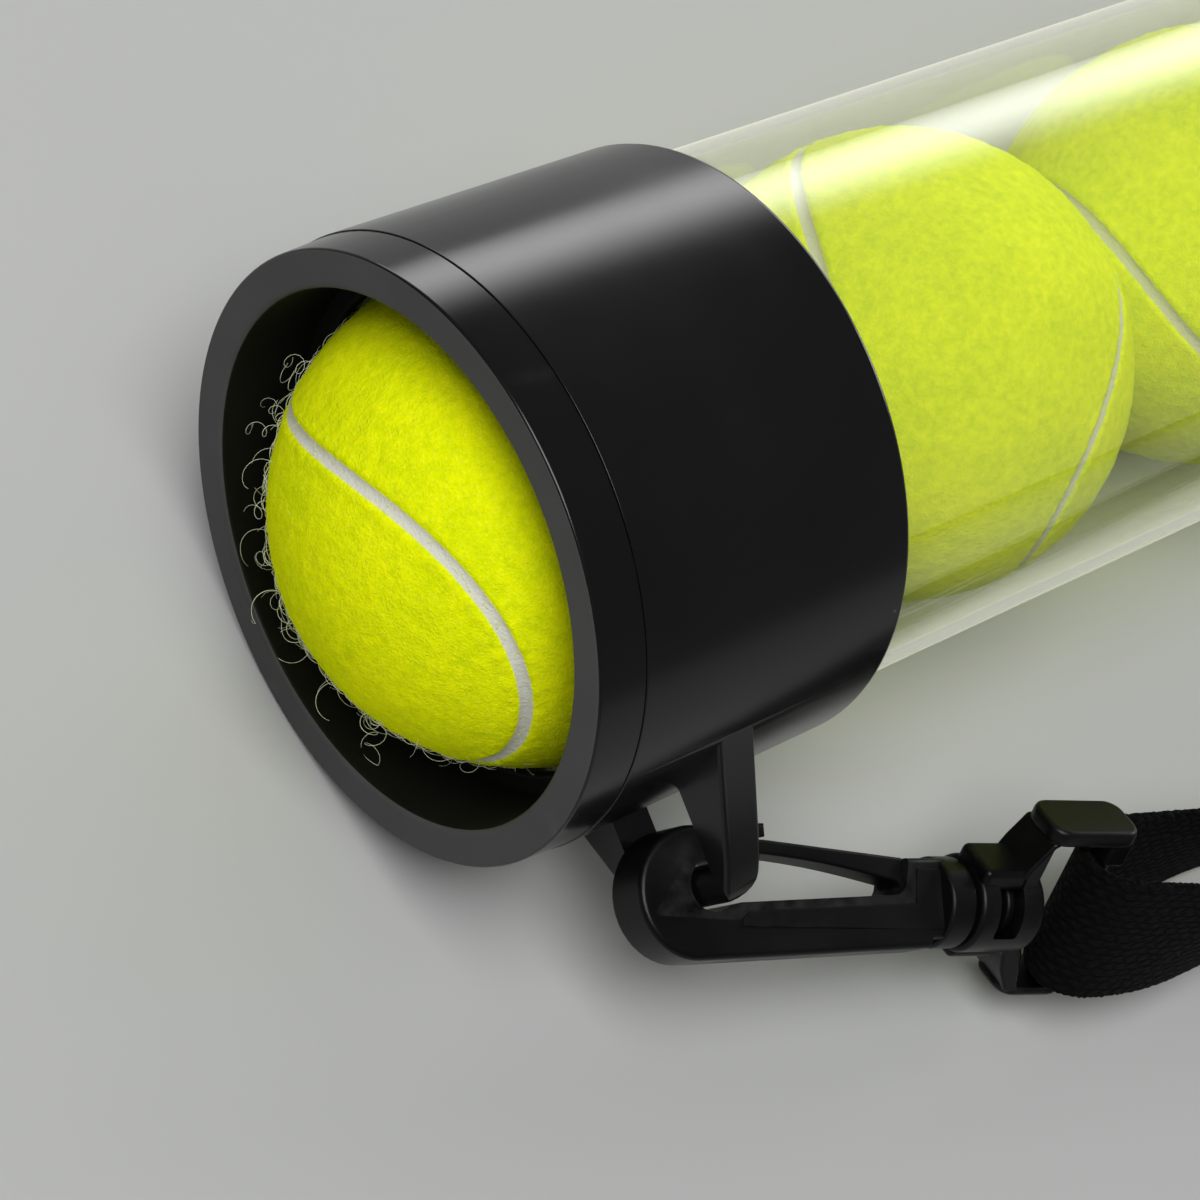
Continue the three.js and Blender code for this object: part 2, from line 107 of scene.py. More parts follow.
def arc(cx, cy, radius, start, stop, steps):
    turns = [math.radians(start + (stop - start) * i / steps) for i in range(steps + 1)]
    return [(cx + radius * math.cos(t), cy + radius * math.sin(t)) for t in turns]


def turnBy(degrees, axis):
    return Matrix.Rotation(math.radians(degrees), 4, axis)


def merged(bm, gap=1e-4):
    bmesh.ops.remove_doubles(bm, verts=bm.verts, dist=gap)
    bmesh.ops.recalc_face_normals(bm, faces=bm.faces)
    return bm


def shifted(bm, *way):
    bmesh.ops.translate(bm, vec=way, verts=bm.verts)
    return bm


def bevelled(bm, edges, width, segments=3):
    if edges:
        bmesh.ops.bevel(
            bm, geom=edges, offset=width, offset_type="OFFSET", segments=segments,
            profile=0.5, affect="EDGES", material=-1, clamp_overlap=True,
        )
    return bm


def turned(profile, rings=(), steps=128):
    # A closed [x, radius] profile spun about the x axis, then its named rings rounded
    bm = bmesh.new()
    verts = [bm.verts.new((x, 0, radius)) for x, radius in profile]
    edges = [bm.edges.new((a, b)) for a, b in zip(verts, verts[1:])]
    if all(radius > 0 for x, radius in profile):
        edges.append(bm.edges.new((verts[-1], verts[0])))
    bmesh.ops.spin(
        bm, geom=verts + edges, cent=(0, 0, 0), axis=(1, 0, 0), dvec=(0, 0, 0),
        angle=2 * math.pi, steps=steps, use_merge=True, use_duplicate=False,
    )
    merged(bm)
    for x, radius, width in rings:
        def onRing(vert):
            reach = math.hypot(vert.co.y, vert.co.z)
            return abs(vert.co.x - x) < nearly and abs(reach - radius) < nearly
        bevelled(bm, [e for e in bm.edges if all(map(onRing, e.verts))], width)
    return bm


def slab(outline, half, rim=0, segments=4, inner=None, innerRim=0):
    # An outline in the xy plane made a plate about z = 0, its rims rounded
    bm = bmesh.new()
    face = bm.faces.new([bm.verts.new((x, y, -half)) for x, y in outline])
    grown = bmesh.ops.extrude_face_region(bm, geom=[face])["geom"]
    raised = [g for g in grown if isinstance(g, bmesh.types.BMVert)]
    bmesh.ops.translate(bm, vec=(0, 0, 2 * half), verts=raised)
    merged(bm)
    rims = [e for e in bm.edges if abs(e.verts[0].co.z - e.verts[1].co.z) < nearly]
    inside = [e for e in rims if inner and all(inner(v.co) for v in e.verts)]
    bevelled(bm, [e for e in rims if e not in inside], rim, segments)
    return bevelled(bm, [e for e in inside if e.is_valid], innerRim, segments)


def box(low, high, rim=0, segments=4):
    bm = bmesh.new()
    bmesh.ops.create_cube(bm, size=1)
    bmesh.ops.scale(bm, vec=[b - a for a, b in zip(low, high)], verts=bm.verts)
    shifted(bm, *[(a + b) / 2 for a, b in zip(low, high)])
    return bevelled(bm, bm.edges[:], rim, segments) if rim else bm


def rod(radius, start, stop, height=0, rim=0, steps=40):
    profile = [(start, 0), (start, radius), (stop, radius), (stop, 0)]
    rings = [(x, radius, rim) for x in (start, stop)] if rim else []
    return shifted(turned(profile, rings, steps), 0, height, 0)


def moved(bm, matrix):
    bm.transform(matrix)
    if matrix.determinant() < 0:
        bmesh.ops.reverse_faces(bm, faces=bm.faces)
    return bm


def meshOf(bm, name):
    mesh = bpy.data.meshes.new(name)
    bm.to_mesh(mesh)
    return mesh


def gathered(*parts):
    # Several closed shells in one bmesh
    whole = bmesh.new()
    for part in parts:
        mesh = meshOf(part, "part")
        whole.from_mesh(mesh)
        bpy.data.meshes.remove(mesh)
    return whole


def added(name, data):
    thing = bpy.data.objects.new(name, data)
    bpy.context.scene.collection.objects.link(thing)
    return thing


def evaluated(thing):
    bpy.context.view_layer.update()
    return thing.evaluated_get(bpy.context.evaluated_depsgraph_get())


def carved(bm, other, operation="DIFFERENCE"):
    # A boolean with another bmesh, solved exactly
    things = [added("carving", meshOf(source, "carving")) for source in (bm, other)]
    modifier = things[0].modifiers.new("carve", "BOOLEAN")
    modifier.operation, modifier.solver, modifier.object = operation, "EXACT", things[1]
    result = bmesh.new()
    result.from_mesh(evaluated(things[0]).to_mesh())
    for thing in things:
        bpy.data.objects.remove(thing)
    return result


def finished(name, bm, looks, body, node, sharp=38, blended=None, even=True):
    # The bmesh, already in metres, as a piece with its materials and its place in the object
    mesh = meshOf(bm, name)
    for look in looks:
        mesh.materials.append(look)
    mesh.shade_smooth()
    mesh.set_sharp_from_angle(angle=math.radians(sharp))
    piece = added(name, mesh)
    if blended:
        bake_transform(piece)
    else:
        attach(piece, body)
    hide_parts(node)
    if even:
        # Flat faces keep flat shading beside their rounded edges
        piece.modifiers.new("even", "WEIGHTED_NORMAL").keep_sharp = True


# Material helpers

def feed(socket, value):
    # A number or a colour is set on the socket, and a node's output is linked to it
    if isinstance(value, tuple):
        socket.default_value = (*value, 1)
    elif isinstance(value, (int, float)):
        socket.default_value = value
    else:
        socket.id_data.links.new(value, socket)


def fill(node, **values):
    for label, value in values.items():
        feed(node.inputs[label.replace("_", " ")], value)
    return node


def nodeIn(owner, kind):
    # A new node in a tree, or in the tree of one of its sockets
    return owner.id_data.nodes.new("ShaderNode" + kind)


def groupOf(name, numbers, outputs):
    # A node group that takes a vector and some numbers
    tree = bpy.data.node_groups.new(name, "ShaderNodeTree")
    tree.interface.new_socket("Vector", in_out="INPUT", socket_type="NodeSocketVector")
    for label, value in numbers.items():
        socket = tree.interface.new_socket(label, in_out="INPUT", socket_type="NodeSocketFloat")
        socket.default_value = value
    for label in outputs:
        tree.interface.new_socket(label, in_out="OUTPUT", socket_type="NodeSocketFloat")
    return tree, tree.nodes.new("NodeGroupInput").outputs, tree.nodes.new("NodeGroupOutput")


def worked(operation, a, b=None, clamp=False):
    node = nodeIn(a, "Math")
    node.operation, node.use_clamp = operation, clamp
    for socket, value in zip(node.inputs, (a, b)):
        if value is not None:
            feed(socket, value)
    return node.outputs[0]


def times(a, b, clamp=False):
    return worked("MULTIPLY", a, b, clamp)


def plus(a, b, clamp=False):
    return worked("ADD", a, b, clamp)


def noiseOf(vector, scale, detail=2, rough=0.5):
    node = fill(nodeIn(vector, "TexNoise"), Vector=vector, Scale=scale, Detail=detail, Roughness=rough)
    return node.outputs["Fac"]


def spread(value, low, high, toLow=0, toHigh=1):
    node = nodeIn(value, "MapRange")
    fill(node, Value=value, From_Min=low, From_Max=high, To_Min=toLow, To_Max=toHigh)
    return node.outputs["Result"]


def mixed(share, first, second):
    node = nodeIn(share, "Mix")
    node.data_type = "RGBA"
    colours = [s for s in node.inputs if s.type == "RGBA"]
    for socket, value in zip((node.inputs[0], *colours), (share, first, second)):
        feed(socket, value)
    return next(s for s in node.outputs if s.type == "RGBA")


def placed(group, vector, **numbers):
    # A node group in a material, with that material's own values
    node = nodeIn(vector, "Group")
    node.node_tree = group
    return fill(node, Vector=vector, **numbers).outputs


def materialOf(name, **plain):
    # A material with its Principled node, that node's plain values set, and its coordinates
    look = bpy.data.materials.new(name)
    look.use_nodes = True
    tree = look.node_tree
    tree.nodes.clear()
    shader = fill(nodeIn(tree, "BsdfPrincipled"), **plain)
    fill(nodeIn(tree, "OutputMaterial"), Surface=shader.outputs[0])
    return look, tree, shader, nodeIn(tree, "TexCoord").outputs


def bumped(shader, height, depth, strength=1):
    bump = fill(nodeIn(height, "Bump"), Height=height, Distance=depth, Strength=strength)
    fill(shader, Normal=bump.outputs[0])


# Noise scales are per metre, and a pair is the range that a value is spread over
grainSizes = {"rough": 0.6, "slowDetail": 3, "tone": (0.35, 0.65)}
dustSizes = {"speck": (0.03, 0.09)}
wearSizes = {"scale": 350, "detail": 3, "rough": 0.6, "broken": (0.35, 0.7)}
weaveSizes = {
    "wander": 350, "wanderBy": 1.6, "stagger": 0.5, "slant": 0.8, "swell": 0.6, "crossShare": 0.7,
    "crossLeast": 0.3, "strands": 6000, "strandShare": 0.35,
}
tuftSizes = {
    "detail": 4, "rough": 0.65, "hairRough": 0.6, "slow": 60, "tuftTone": 0.65, "slowTone": 0.35,
    "tuftHeight": 0.6, "hairHeight": 0.4, "tone": (0.36, 0.64), "fleck": (0.5, 0.72),
}


def grainGroup():
    # Fine moulded grain over slow waves of the surface
    numbers = {"Grain": 2500, "Waves": 40, "Wave share": 0.5}
    tree, ins, outs = groupOf("mouldedGrain", numbers, ["Height", "Tone"])
    fine = noiseOf(ins["Vector"], ins["Grain"], rough=grainSizes["rough"])
    slow = noiseOf(ins["Vector"], ins["Waves"], grainSizes["slowDetail"])
    height = plus(times(slow, ins["Wave share"]), fine)
    fill(outs, Height=height, Tone=spread(slow, *grainSizes["tone"]))
    return tree


def dustGroup():
    # Small specks, sparse: near the middles of some cells only
    tree, ins, outs = groupOf("dustSpecks", {"Scale": 180, "Sparse": 0.86}, ["Mask"])
    cells = fill(nodeIn(tree, "TexVoronoi"), Vector=ins["Vector"], Scale=ins["Scale"])
    chances = nodeIn(tree, "SeparateColor")
    feed(chances.inputs[0], cells.outputs["Color"])
    chosen = worked("GREATER_THAN", chances.outputs[0], ins["Sparse"])
    size = spread(chances.outputs[1], 0, 1, *dustSizes["speck"])
    near = spread(cells.outputs["Distance"], 0, size, 1, 0)
    fill(outs, Mask=times(chosen, near, True))
    return tree


def wearGroup():
    # Raised edges, found from how sharply the surface turns
    tree, ins, outs = groupOf("edgeWear", {"Low": 0.53, "High": 0.62}, ["Mask"])
    ridge = spread(nodeIn(tree, "NewGeometry").outputs["Pointiness"], ins["Low"], ins["High"])
    w = named(wearSizes)
    broken = spread(noiseOf(ins["Vector"], w.scale, w.detail, w.rough), *w.broken)
    fill(outs, Mask=times(ridge, broken))
    return tree


def weaveGroup():
    # Cords along the webbing with crossings stepped half a pitch from one cord to the next
    tree, ins, outs = groupOf("webbingWeave", {"Cord": 820, "Cross": 430}, ["Height", "Thread"])
    vector, w = ins["Vector"], named(weaveSizes)
    parts = fill(nodeIn(tree, "SeparateXYZ"), Vector=vector).outputs
    wander = times(noiseOf(vector, w.wander), w.wanderBy)
    across = plus(times(parts[1], ins["Cord"]), wander)
    column, inColumn = worked("FLOOR", across), worked("FRACT", across)
    step = times(worked("PINGPONG", column, 1), w.stagger)
    slant = times(worked("ABSOLUTE", worked("SUBTRACT", inColumn, 0.5)), w.slant)
    along = worked("FRACT", plus(plus(times(parts[0], ins["Cross"]), step), slant))
    roundV, roundU = [worked("SINE", times(share, math.pi)) for share in (inColumn, along)]
    crossing = plus(times(roundU, w.crossShare), w.crossLeast)
    thread = times(worked("POWER", roundV, w.swell), crossing)
    strands = noiseOf(vector, w.strands, 1)
    fill(outs, Height=plus(thread, times(strands, w.strandShare)), Thread=thread)
    return tree


def napGroup():
    # Felt: matted tufts, fine hairs and paler flecks
    tree, ins, outs = groupOf("feltNap", {"Tuft": 420, "Hair": 2600}, ["Height", "Tone", "Fleck"])
    vector, t = ins["Vector"], named(tuftSizes)
    tuft = noiseOf(vector, ins["Tuft"], t.detail, t.rough)
    hair = noiseOf(vector, ins["Hair"], rough=t.hairRough)
    tone = plus(times(tuft, t.tuftTone), times(noiseOf(vector, t.slow), t.slowTone))
    height = plus(times(tuft, t.tuftHeight), times(hair, t.hairHeight))
    fill(outs, Height=height, Tone=spread(tone, *t.tone), Fleck=spread(hair, *t.fleck))
    return tree


grain, dust, wear, weave, nap = grainGroup(), dustGroup(), wearGroup(), weaveGroup(), napGroup()
plasticSizes = {"paler": 1.35, "wornShare": 0.6, "wornRough": 0.12, "dustColour": (0.35, 0.35, 0.34)}


def plasticLook(
    name, colour, worn, rough, step, scale, depth, specular, waves=40, waveShare=0.5, dusty=0.35,
):
    # Moulded plastic: its tone and shine wander, its edges are worn and a little dust lies on it
    p = named(plasticSizes)
    look, tree, shader, where = materialOf(name, Specular_IOR_Level=specular)
    fine = placed(grain, where["Object"], Grain=scale, Waves=waves, Wave_share=waveShare)
    specks, edges = placed(dust, where["Object"])["Mask"], placed(wear, where["Object"])["Mask"]
    base = mixed(fine["Tone"], colour, tuple(c * p.paler for c in colour))
    base = mixed(times(edges, p.wornShare), base, (worn,) * 3)
    base = mixed(times(specks, dusty), base, p.dustColour)
    shine = spread(fine["Tone"], 0, 1, rough - step, rough + step)
    fill(shader, Base_Color=base, Roughness=plus(shine, times(edges, p.wornRough), True))
    bumped(shader, fine["Height"], depth)
    return look


sleeveLook = plasticLook(
    "sleeveGloss", colour=(0.0035, 0.0035, 0.0038), worn=0.03, rough=0.2, step=0.04, scale=900,
    depth=3e-6, waves=25, waveShare=12, specular=0.29,
)
faceLook = plasticLook(
    "ringFace", colour=(0.043, 0.042, 0.044), worn=0.1, rough=0.65, step=0.05, scale=3500,
    depth=2e-5, dusty=0.2, specular=0.35,
)
# Near black: painted shade for the bore and lip inside the mouth
boreShadeLook = plasticLook(
    "boreShade", colour=(0.003, 0.0033, 0.0024), worn=0.02, rough=0.6, step=0.05, scale=2500,
    depth=1e-5, dusty=0.2, specular=0.15,
)
hookLook = plasticLook(
    "hookSatin", colour=(0.0018, 0.0018, 0.002), worn=0.02, rough=0.36, step=0.06, scale=1600,
    depth=1.6e-5, waves=60, waveShare=0.6, dusty=0.15, specular=0.17,
)


clearSizes = {"tint": (0.92, 0.94, 0.81), "rough": 0.03, "dusty": 0.3, "depth": 2e-6}
feltColours = {
    "deep": (0.62, 0.75, 0.0015), "pale": (0.87, 0.93, 0.002), "fleck": (0.95, 0.98, 0.04),
    "fleckShare": 0.4, "seam": (0.62, 0.62, 0.54), "ragged": (0.3, 0.7, -0.06, 0.06),
    "depth": 4.5e-4, "bump": 0.8,
}
webbingColours = {
    "deep": (0.0003, 0.0003, 0.0003), "pale": (0.003, 0.0028, 0.003), "rough": 0.8, "depth": 4e-4,
}


def clearLook():
    # Clear wall with a faint olive tint: it lets lamps through, and stays glass to the eye
    c = named(clearSizes)
    look, tree, shader, where = materialOf(
        "clearWall", Base_Color=c.tint, Transmission_Weight=1.0, IOR=1.49,
        Sheen_Weight=0.55, Sheen_Roughness=0.34, Sheen_Tint=(1.0, 1.0, 0.82),
    )
    fine = placed(grain, where["Object"], Grain=300, Waves=12)
    specks = placed(dust, where["Object"], Scale=120)["Mask"]
    shine = spread(fine["Tone"], 0, 1, 0, c.rough)
    fill(shader, Roughness=plus(shine, times(specks, c.dusty), True))
    bumped(shader, fine["Height"], c.depth)
    through = fill(nodeIn(tree, "BsdfTransparent"), Color=c.tint)
    path = nodeIn(tree, "LightPath").outputs
    lamp = worked("MAXIMUM", path["Is Shadow Ray"], path["Is Diffuse Ray"])
    mix = nodeIn(tree, "MixShader")
    for socket, value in zip(mix.inputs, (lamp, shader.outputs[0], through.outputs[0])):
        feed(socket, value)
    fill(next(n for n in tree.nodes if n.type == "OUTPUT_MATERIAL"), Surface=mix.outputs[0])
    return look


ballSizes = {
    "felt": 32.85, "seamHalf": 0.82, "seamDepth": 0.45, "seamShare": 0.25, "seamSoft": 0.1, "lipRise": 0.12,
    "seamBlend": 0.5, "lipOut": 0.7, "lipWide": 0.6, "nearSeam": 2.6, "fineLevel": 6, "plainLevel": 5,
    "rough": 0.2, "slow": 0.9, "fast": 2.3, "fastShare": 0.6, "noiseShift": 7,
}


def feltLook():
    look, tree, shader, where = materialOf(
        "ballFelt", Roughness=1.0, Specular_IOR_Level=0.0, Sheen_Weight=0.12, Sheen_Roughness=0.5,
        Sheen_Tint=(0.85, 1.0, 0.02),
    )
    c, felt = named(feltColours), placed(nap, where["Object"], Tuft=700)
    base = mixed(felt["Tone"], c.deep, c.pale)
    base = mixed(times(felt["Fleck"], c.fleckShare), base, c.fleck)
    # The seam attribute is the distance from the middle of the seam, in mm, below zero on one side
    seam = nodeIn(tree, "Attribute")
    seam.attribute_name = "seam"
    ragged = spread(felt["Height"], *c.ragged)
    gap = plus(worked("ABSOLUTE", seam.outputs["Fac"]), ragged)
    half, soft = ballSizes["seamHalf"], ballSizes["seamSoft"]
    fill(shader, Base_Color=mixed(spread(gap, half - soft, half + soft, 1, 0), base, c.seam))
    bumped(shader, felt["Height"], c.depth, c.bump)
    return look


def hairLook(name, deep, pale):
    look, tree, shader, where = materialOf(name, Roughness=0.8, Specular_IOR_Level=0.3, Sheen_Weight=0.2)
    tone = spread(noiseOf(where["Object"], 800, 1), *grainSizes["tone"])
    fill(shader, Base_Color=mixed(tone, deep, pale))
    return look


def webbingLook():
    look, tree, shader, where = materialOf(
        "webbing", Specular_IOR_Level=0.07, Sheen_Weight=0.01, Sheen_Roughness=0.4,
    )
    c, cloth = named(webbingColours), placed(weave, where["UV"])
    base = mixed(cloth["Thread"], c.deep, c.pale)
    fill(shader, Base_Color=base, Roughness=spread(cloth["Thread"], 0, 1, 1, c.rough))
    bumped(shader, cloth["Height"], c.depth)
    return look


clearWall, ballFelt, webbing = clearLook(), feltLook(), webbingLook()
hairLooks = [
    hairLook("napHair", (0.7, 0.82, 0.01), (0.88, 0.95, 0.1)),
    hairLook("looseCurl", (0.62, 0.66, 0.42), (0.8, 0.82, 0.68)),
]
print("materials made")


# Tube, ring, sleeves and cap

tubeSizes = {
    "outer": (tubeHigh.z - tubeLow.z) / 2 / mm,
    "wall": 1.5,
    "start": (tubeLow.x - mouthX) / mm,
    "edge": 0.35,
}
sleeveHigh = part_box("front_sleeve")[1]
sleeveSizes = {
    "start": 7.05, "end": (sleeveHigh.x - mouthX) / mm, "outer": (sleeveHigh.z - axisZ) / mm,
    "bore": 37.8, "rimRound": 0.9, "startRound": 0.12, "lugFront": 22.7, "lugWidth": 5.9,
    "rootHalf": 17.4, "tipHalf": 9.4, "slotHalf": 8.3, "rootDeep": 7.8, "barHalf": 2.4, "lugRound": 0.7,
    "endRound": 3.9, "barRound": 1.9, "barCorner": 1.3, "cornerRound": 3, "cornerIn": 2.2, "holeLow": 1,
    "boreRound": 0.3,
}
ringSizes = {
    "face": 40.2, "bandRise": 0.35, "band": 7, "plug": 20, "mouth": 35.1, "lip": 32.5, "lipFront": 13,
    "lipWidth": 1.8, "mouthRound": 0.9, "faceRound": 0.45, "lipRound": 0.6, "bandRound": 0.1,
    "glossFrom": 39.9, "facing": 0.8,
}
capSizes = {
    "plate": 3, "recess": 0.8, "rim": 4.5, "rimRound": 0.9, "step": 0.5, "bandRise": 0.2, "fineRound": 0.3,
    "bandRound": 0.2,
}


def clearTube():
    t = named(tubeSizes)
    start, end, inner = t.start, overall - t.start, t.outer - t.wall
    profile = [(start, inner), (start, t.outer), (end, t.outer), (end, inner)]
    rings = [(x, radius, t.edge) for x in (start, end) for radius in (inner, t.outer)]
    bm = moved(turned(profile, rings), tubeFrame)
    finished("wall_clear", bm, [clearWall], "tube_body", "clear_tube")


def mouthRing():
    r, outer = named(ringSizes), tubeSizes["outer"]
    lipFront, lipBack = r.lipFront, r.lipFront + r.lipWidth
    bandOuter, inner = r.face + r.bandRise, outer - tubeSizes["wall"]
    profile = [
        (0, r.mouth), (0, r.face), (r.band, bandOuter), (r.band, outer), (r.plug, outer),
        (r.plug, inner), (lipBack, inner), (lipBack, r.lip), (lipFront, r.lip), (lipFront, r.mouth),
    ]
    rings = [
        (0, r.mouth, r.mouthRound), (0, r.face, r.faceRound), (r.band, bandOuter, r.bandRound),
        (lipBack, r.lip, r.lipRound), (lipFront, r.lip, r.lipRound),
    ]
    bm = moved(turned(profile, rings), tubeFrame)
    # The face is satin grey and its outer band gloss; the bore and lip get a near-black material, painted
    # shade for the dark inside the mouth
    bm.normal_update()
    for face in bm.faces:
        middle = face.calc_center_median()
        spoke = Vector((0, middle.y - axisY, middle.z - axisZ))
        deep = middle.x - mouthX > 2 * r.mouthRound * mm
        if spoke.length > r.glossFrom * mm:
            face.material_index = 1
        elif deep or face.normal.dot(spoke.normalized()) < -r.facing:
            face.material_index = 2
    looks = [faceLook, sleeveLook, boreShadeLook]
    finished("ring_mouth", bm, looks, "tube_body", "pickup_ring")


def endCap():
    c, r, outer, x = named(capSizes), named(ringSizes), tubeSizes["outer"], overall
    rim, band, bandOuter = r.face - c.rim, x - r.band, r.face + c.bandRise
    profile = [
        (x - c.plate, 0), (x - c.plate, r.mouth), (x - r.plug, r.mouth), (x - r.plug, outer),
        (band, outer), (band, bandOuter), (x, r.face), (x, rim), (x - c.recess, rim - c.step),
        (x - c.recess, 0),
    ]
    rings = [(x, r.face, c.rimRound), (x, rim, c.fineRound), (band, bandOuter, c.bandRound)]
    bm = moved(turned(profile, rings), tubeFrame)
    finished("cap_end", bm, [faceLook], "cap_body", "end_cap")


def sleeve(end, place):
    s = named(sleeveSizes)
    profile = [(s.start, s.bore), (s.start, s.outer), (s.end, s.outer), (s.end, s.bore)]
    rings = [(s.start, s.outer, s.startRound), (s.end, s.outer, s.rimRound), (s.end, s.bore, s.boreRound)]
    shell = turned(profile, rings)
    # The lug: a tapered loop, drawn across the tube, and a rounded bar over its top
    top = barCentre + s.barHalf
    foot = s.outer - s.rootDeep
    slope = (s.rootHalf - s.tipHalf) / (top - s.outer)
    crown = 2 * s.barHalf
    side = s.rootHalf + slope * (s.outer - foot)
    crownHalf = s.tipHalf + slope * crown
    cornerX, cornerY, corner = s.tipHalf - s.cornerIn, top - s.cornerRound, s.cornerRound
    outline = [
        (side, foot), (crownHalf, top - crown), *arc(cornerX, cornerY, corner, 20, 90, 5),
        *arc(-cornerX, cornerY, corner, 90, 160, 5), (-crownHalf, top - crown), (-side, foot),
    ]
    loop = slab(outline, s.lugWidth / 2, s.lugRound)
    # From the side, the loop's outer end and its bar are rounded
    half, big, small, least = s.lugWidth / 2 + sliver, s.endRound, s.barRound, s.barCorner
    low, under, reach = foot - overrun, top - crown, s.lugWidth
    sideways, holeLow = turnBy(90, "Y"), s.outer - s.holeLow
    profile = slab(
        [
            (half, low), *arc(half - big, top - big, big, 0, 90, 7),
            *arc(small - half, top - small, small, 90, 180, 6), (-half, low),
        ],
        s.rootHalf + reach,
    )
    hole = slab(
        [
            (-reach, holeLow), (reach, holeLow), (reach, under + least),
            *arc(half - least, under + least, least, 0, -90, 5),
            *arc(small - half, under + small, small, -90, -180, 6), (-reach, under + small),
        ],
        s.slotHalf,
    )
    loop = carved(carved(loop, moved(profile, sideways), "INTERSECT"), moved(hole, sideways))
    loop = shifted(moved(loop, turnBy(-90, "Y")), s.lugFront + s.lugWidth / 2, 0, 0)
    outwards = turnBy(180 + math.degrees(math.atan2(-hinge["axis"][1], hinge["axis"][2])), "X")
    core = rod((s.bore + s.outer) / 2, s.start, s.end + reach, steps=128)
    shell = carved(shell, carved(moved(loop, outwards), core), "UNION")
    bm = moved(moved(shell, tubeFrame), place)
    finished(end + "_collar", bm, [sleeveLook], "tube_body", end + "_sleeve")


clearTube()
mouthRing()
endCap()
for end, place in ends.items():
    sleeve(end, place)
print("tube, ring, cap and sleeves made")


# Snap hooks and swivel eyes, in the hook's and the eye's own frames

hookSizes = {
    "half": 3.6, "throat": 3.5, "noseRadius": 8.7, "noseU": -2.5, "noseV": -1, "noseTop": 7.65,
    "armLowEnd": -8.4, "armTop": -2.3, "armTopStart": 4.2, "armTopEnd": -1.4, "armEnd": 29.5,
    "shankStart": 31.9, "shankEnd": 38.2, "shankTop": 3.6, "shankLow": -7.2, "notch": 34.6,
    "tipEnd": 9.2, "tipTop": 8.1, "pocketStart": 5.9, "pocketLow": 4.3, "pocketTop": 6.3,
    "collar": 6.2, "collarBack": 1.4, "collarEnd": 41.1, "stem": 3.1, "stemEnd": 51.2, "head": 4.4,
    "headWidth": 3.6, "notchRun": 0.8, "tipStart": -2, "tipThroat": 2.2, "tipRise": 0.1, "tipFall": 0.6,
    "round": 1.9, "fineRound": 0.7, "step": 0.25, "stepV": -5.7, "stepStart": 4, "stepInset": 1.1,
    "stepRound": 0.2, "stepSlope": 0.3, "stepBack": 2.6, "stepRoot": 0.6, "stepCut": 1.6, "stepNick": 0.9,
    "rootRound": 2.2, "collarRound": 0.6, "headRound": 0.5, "bite": 0.4,
}
gateSizes = {
    "tipGap": 0.7, "tipThick": 1.7, "rootThick": 3.2, "rootV": 2.1, "rootLength": 1.2, "rootDrop": 1.4,
    "sag": 0.5, "sagSteps": 8, "half": 2.6, "round": 0.45,
}
# Two-sided sizes are for the eye's upper and lower arm
eyeSizes = {
    "start": 41.6, "end": 52.5, "radius": 6.7, "startRound": 0.7, "padHeight": 7.9, "padLow": -7,
    "padHalf": 3.6, "padEnd": 50, "padBite": 0.1, "padGap": 1.5, "padRound": 1, "half": 4, "yokeThin": 0.15,
    "yokeStart": 47.6, "yokeLow": -2, "neck": 6.2, "waist": 9, "yokeEnd": 51, "lowStart": 51, "lowEnd": 54.5,
    "flare": 1, "footBite": 0.6, "footLead": 1.4, "lowLead": 3,
    "armStart": {1: 50, -1: 54}, "armOuter": {1: 14.9, -1: 13.6}, "armInner": 12.3, "armTip": 65.2,
    "armRound": 2.6, "rimRound": 0.75, "bossStart": 61.2, "bossInner": 8.8, "bossLow": -0.9,
    "bossRound": 0.6, "bossShort": 0.4, "bossDown": 0.5, "bar": 1.7, "barS": 63.3, "bite": 0.8, "round": 0.9,
    "windowStart": 44.6, "windowEnd": 48.6, "windowHalf": 4.2, "windowTurn": -30, "windowRound": 0.5,
    "cornerTurn": 0.3,
}
fit = 0.3


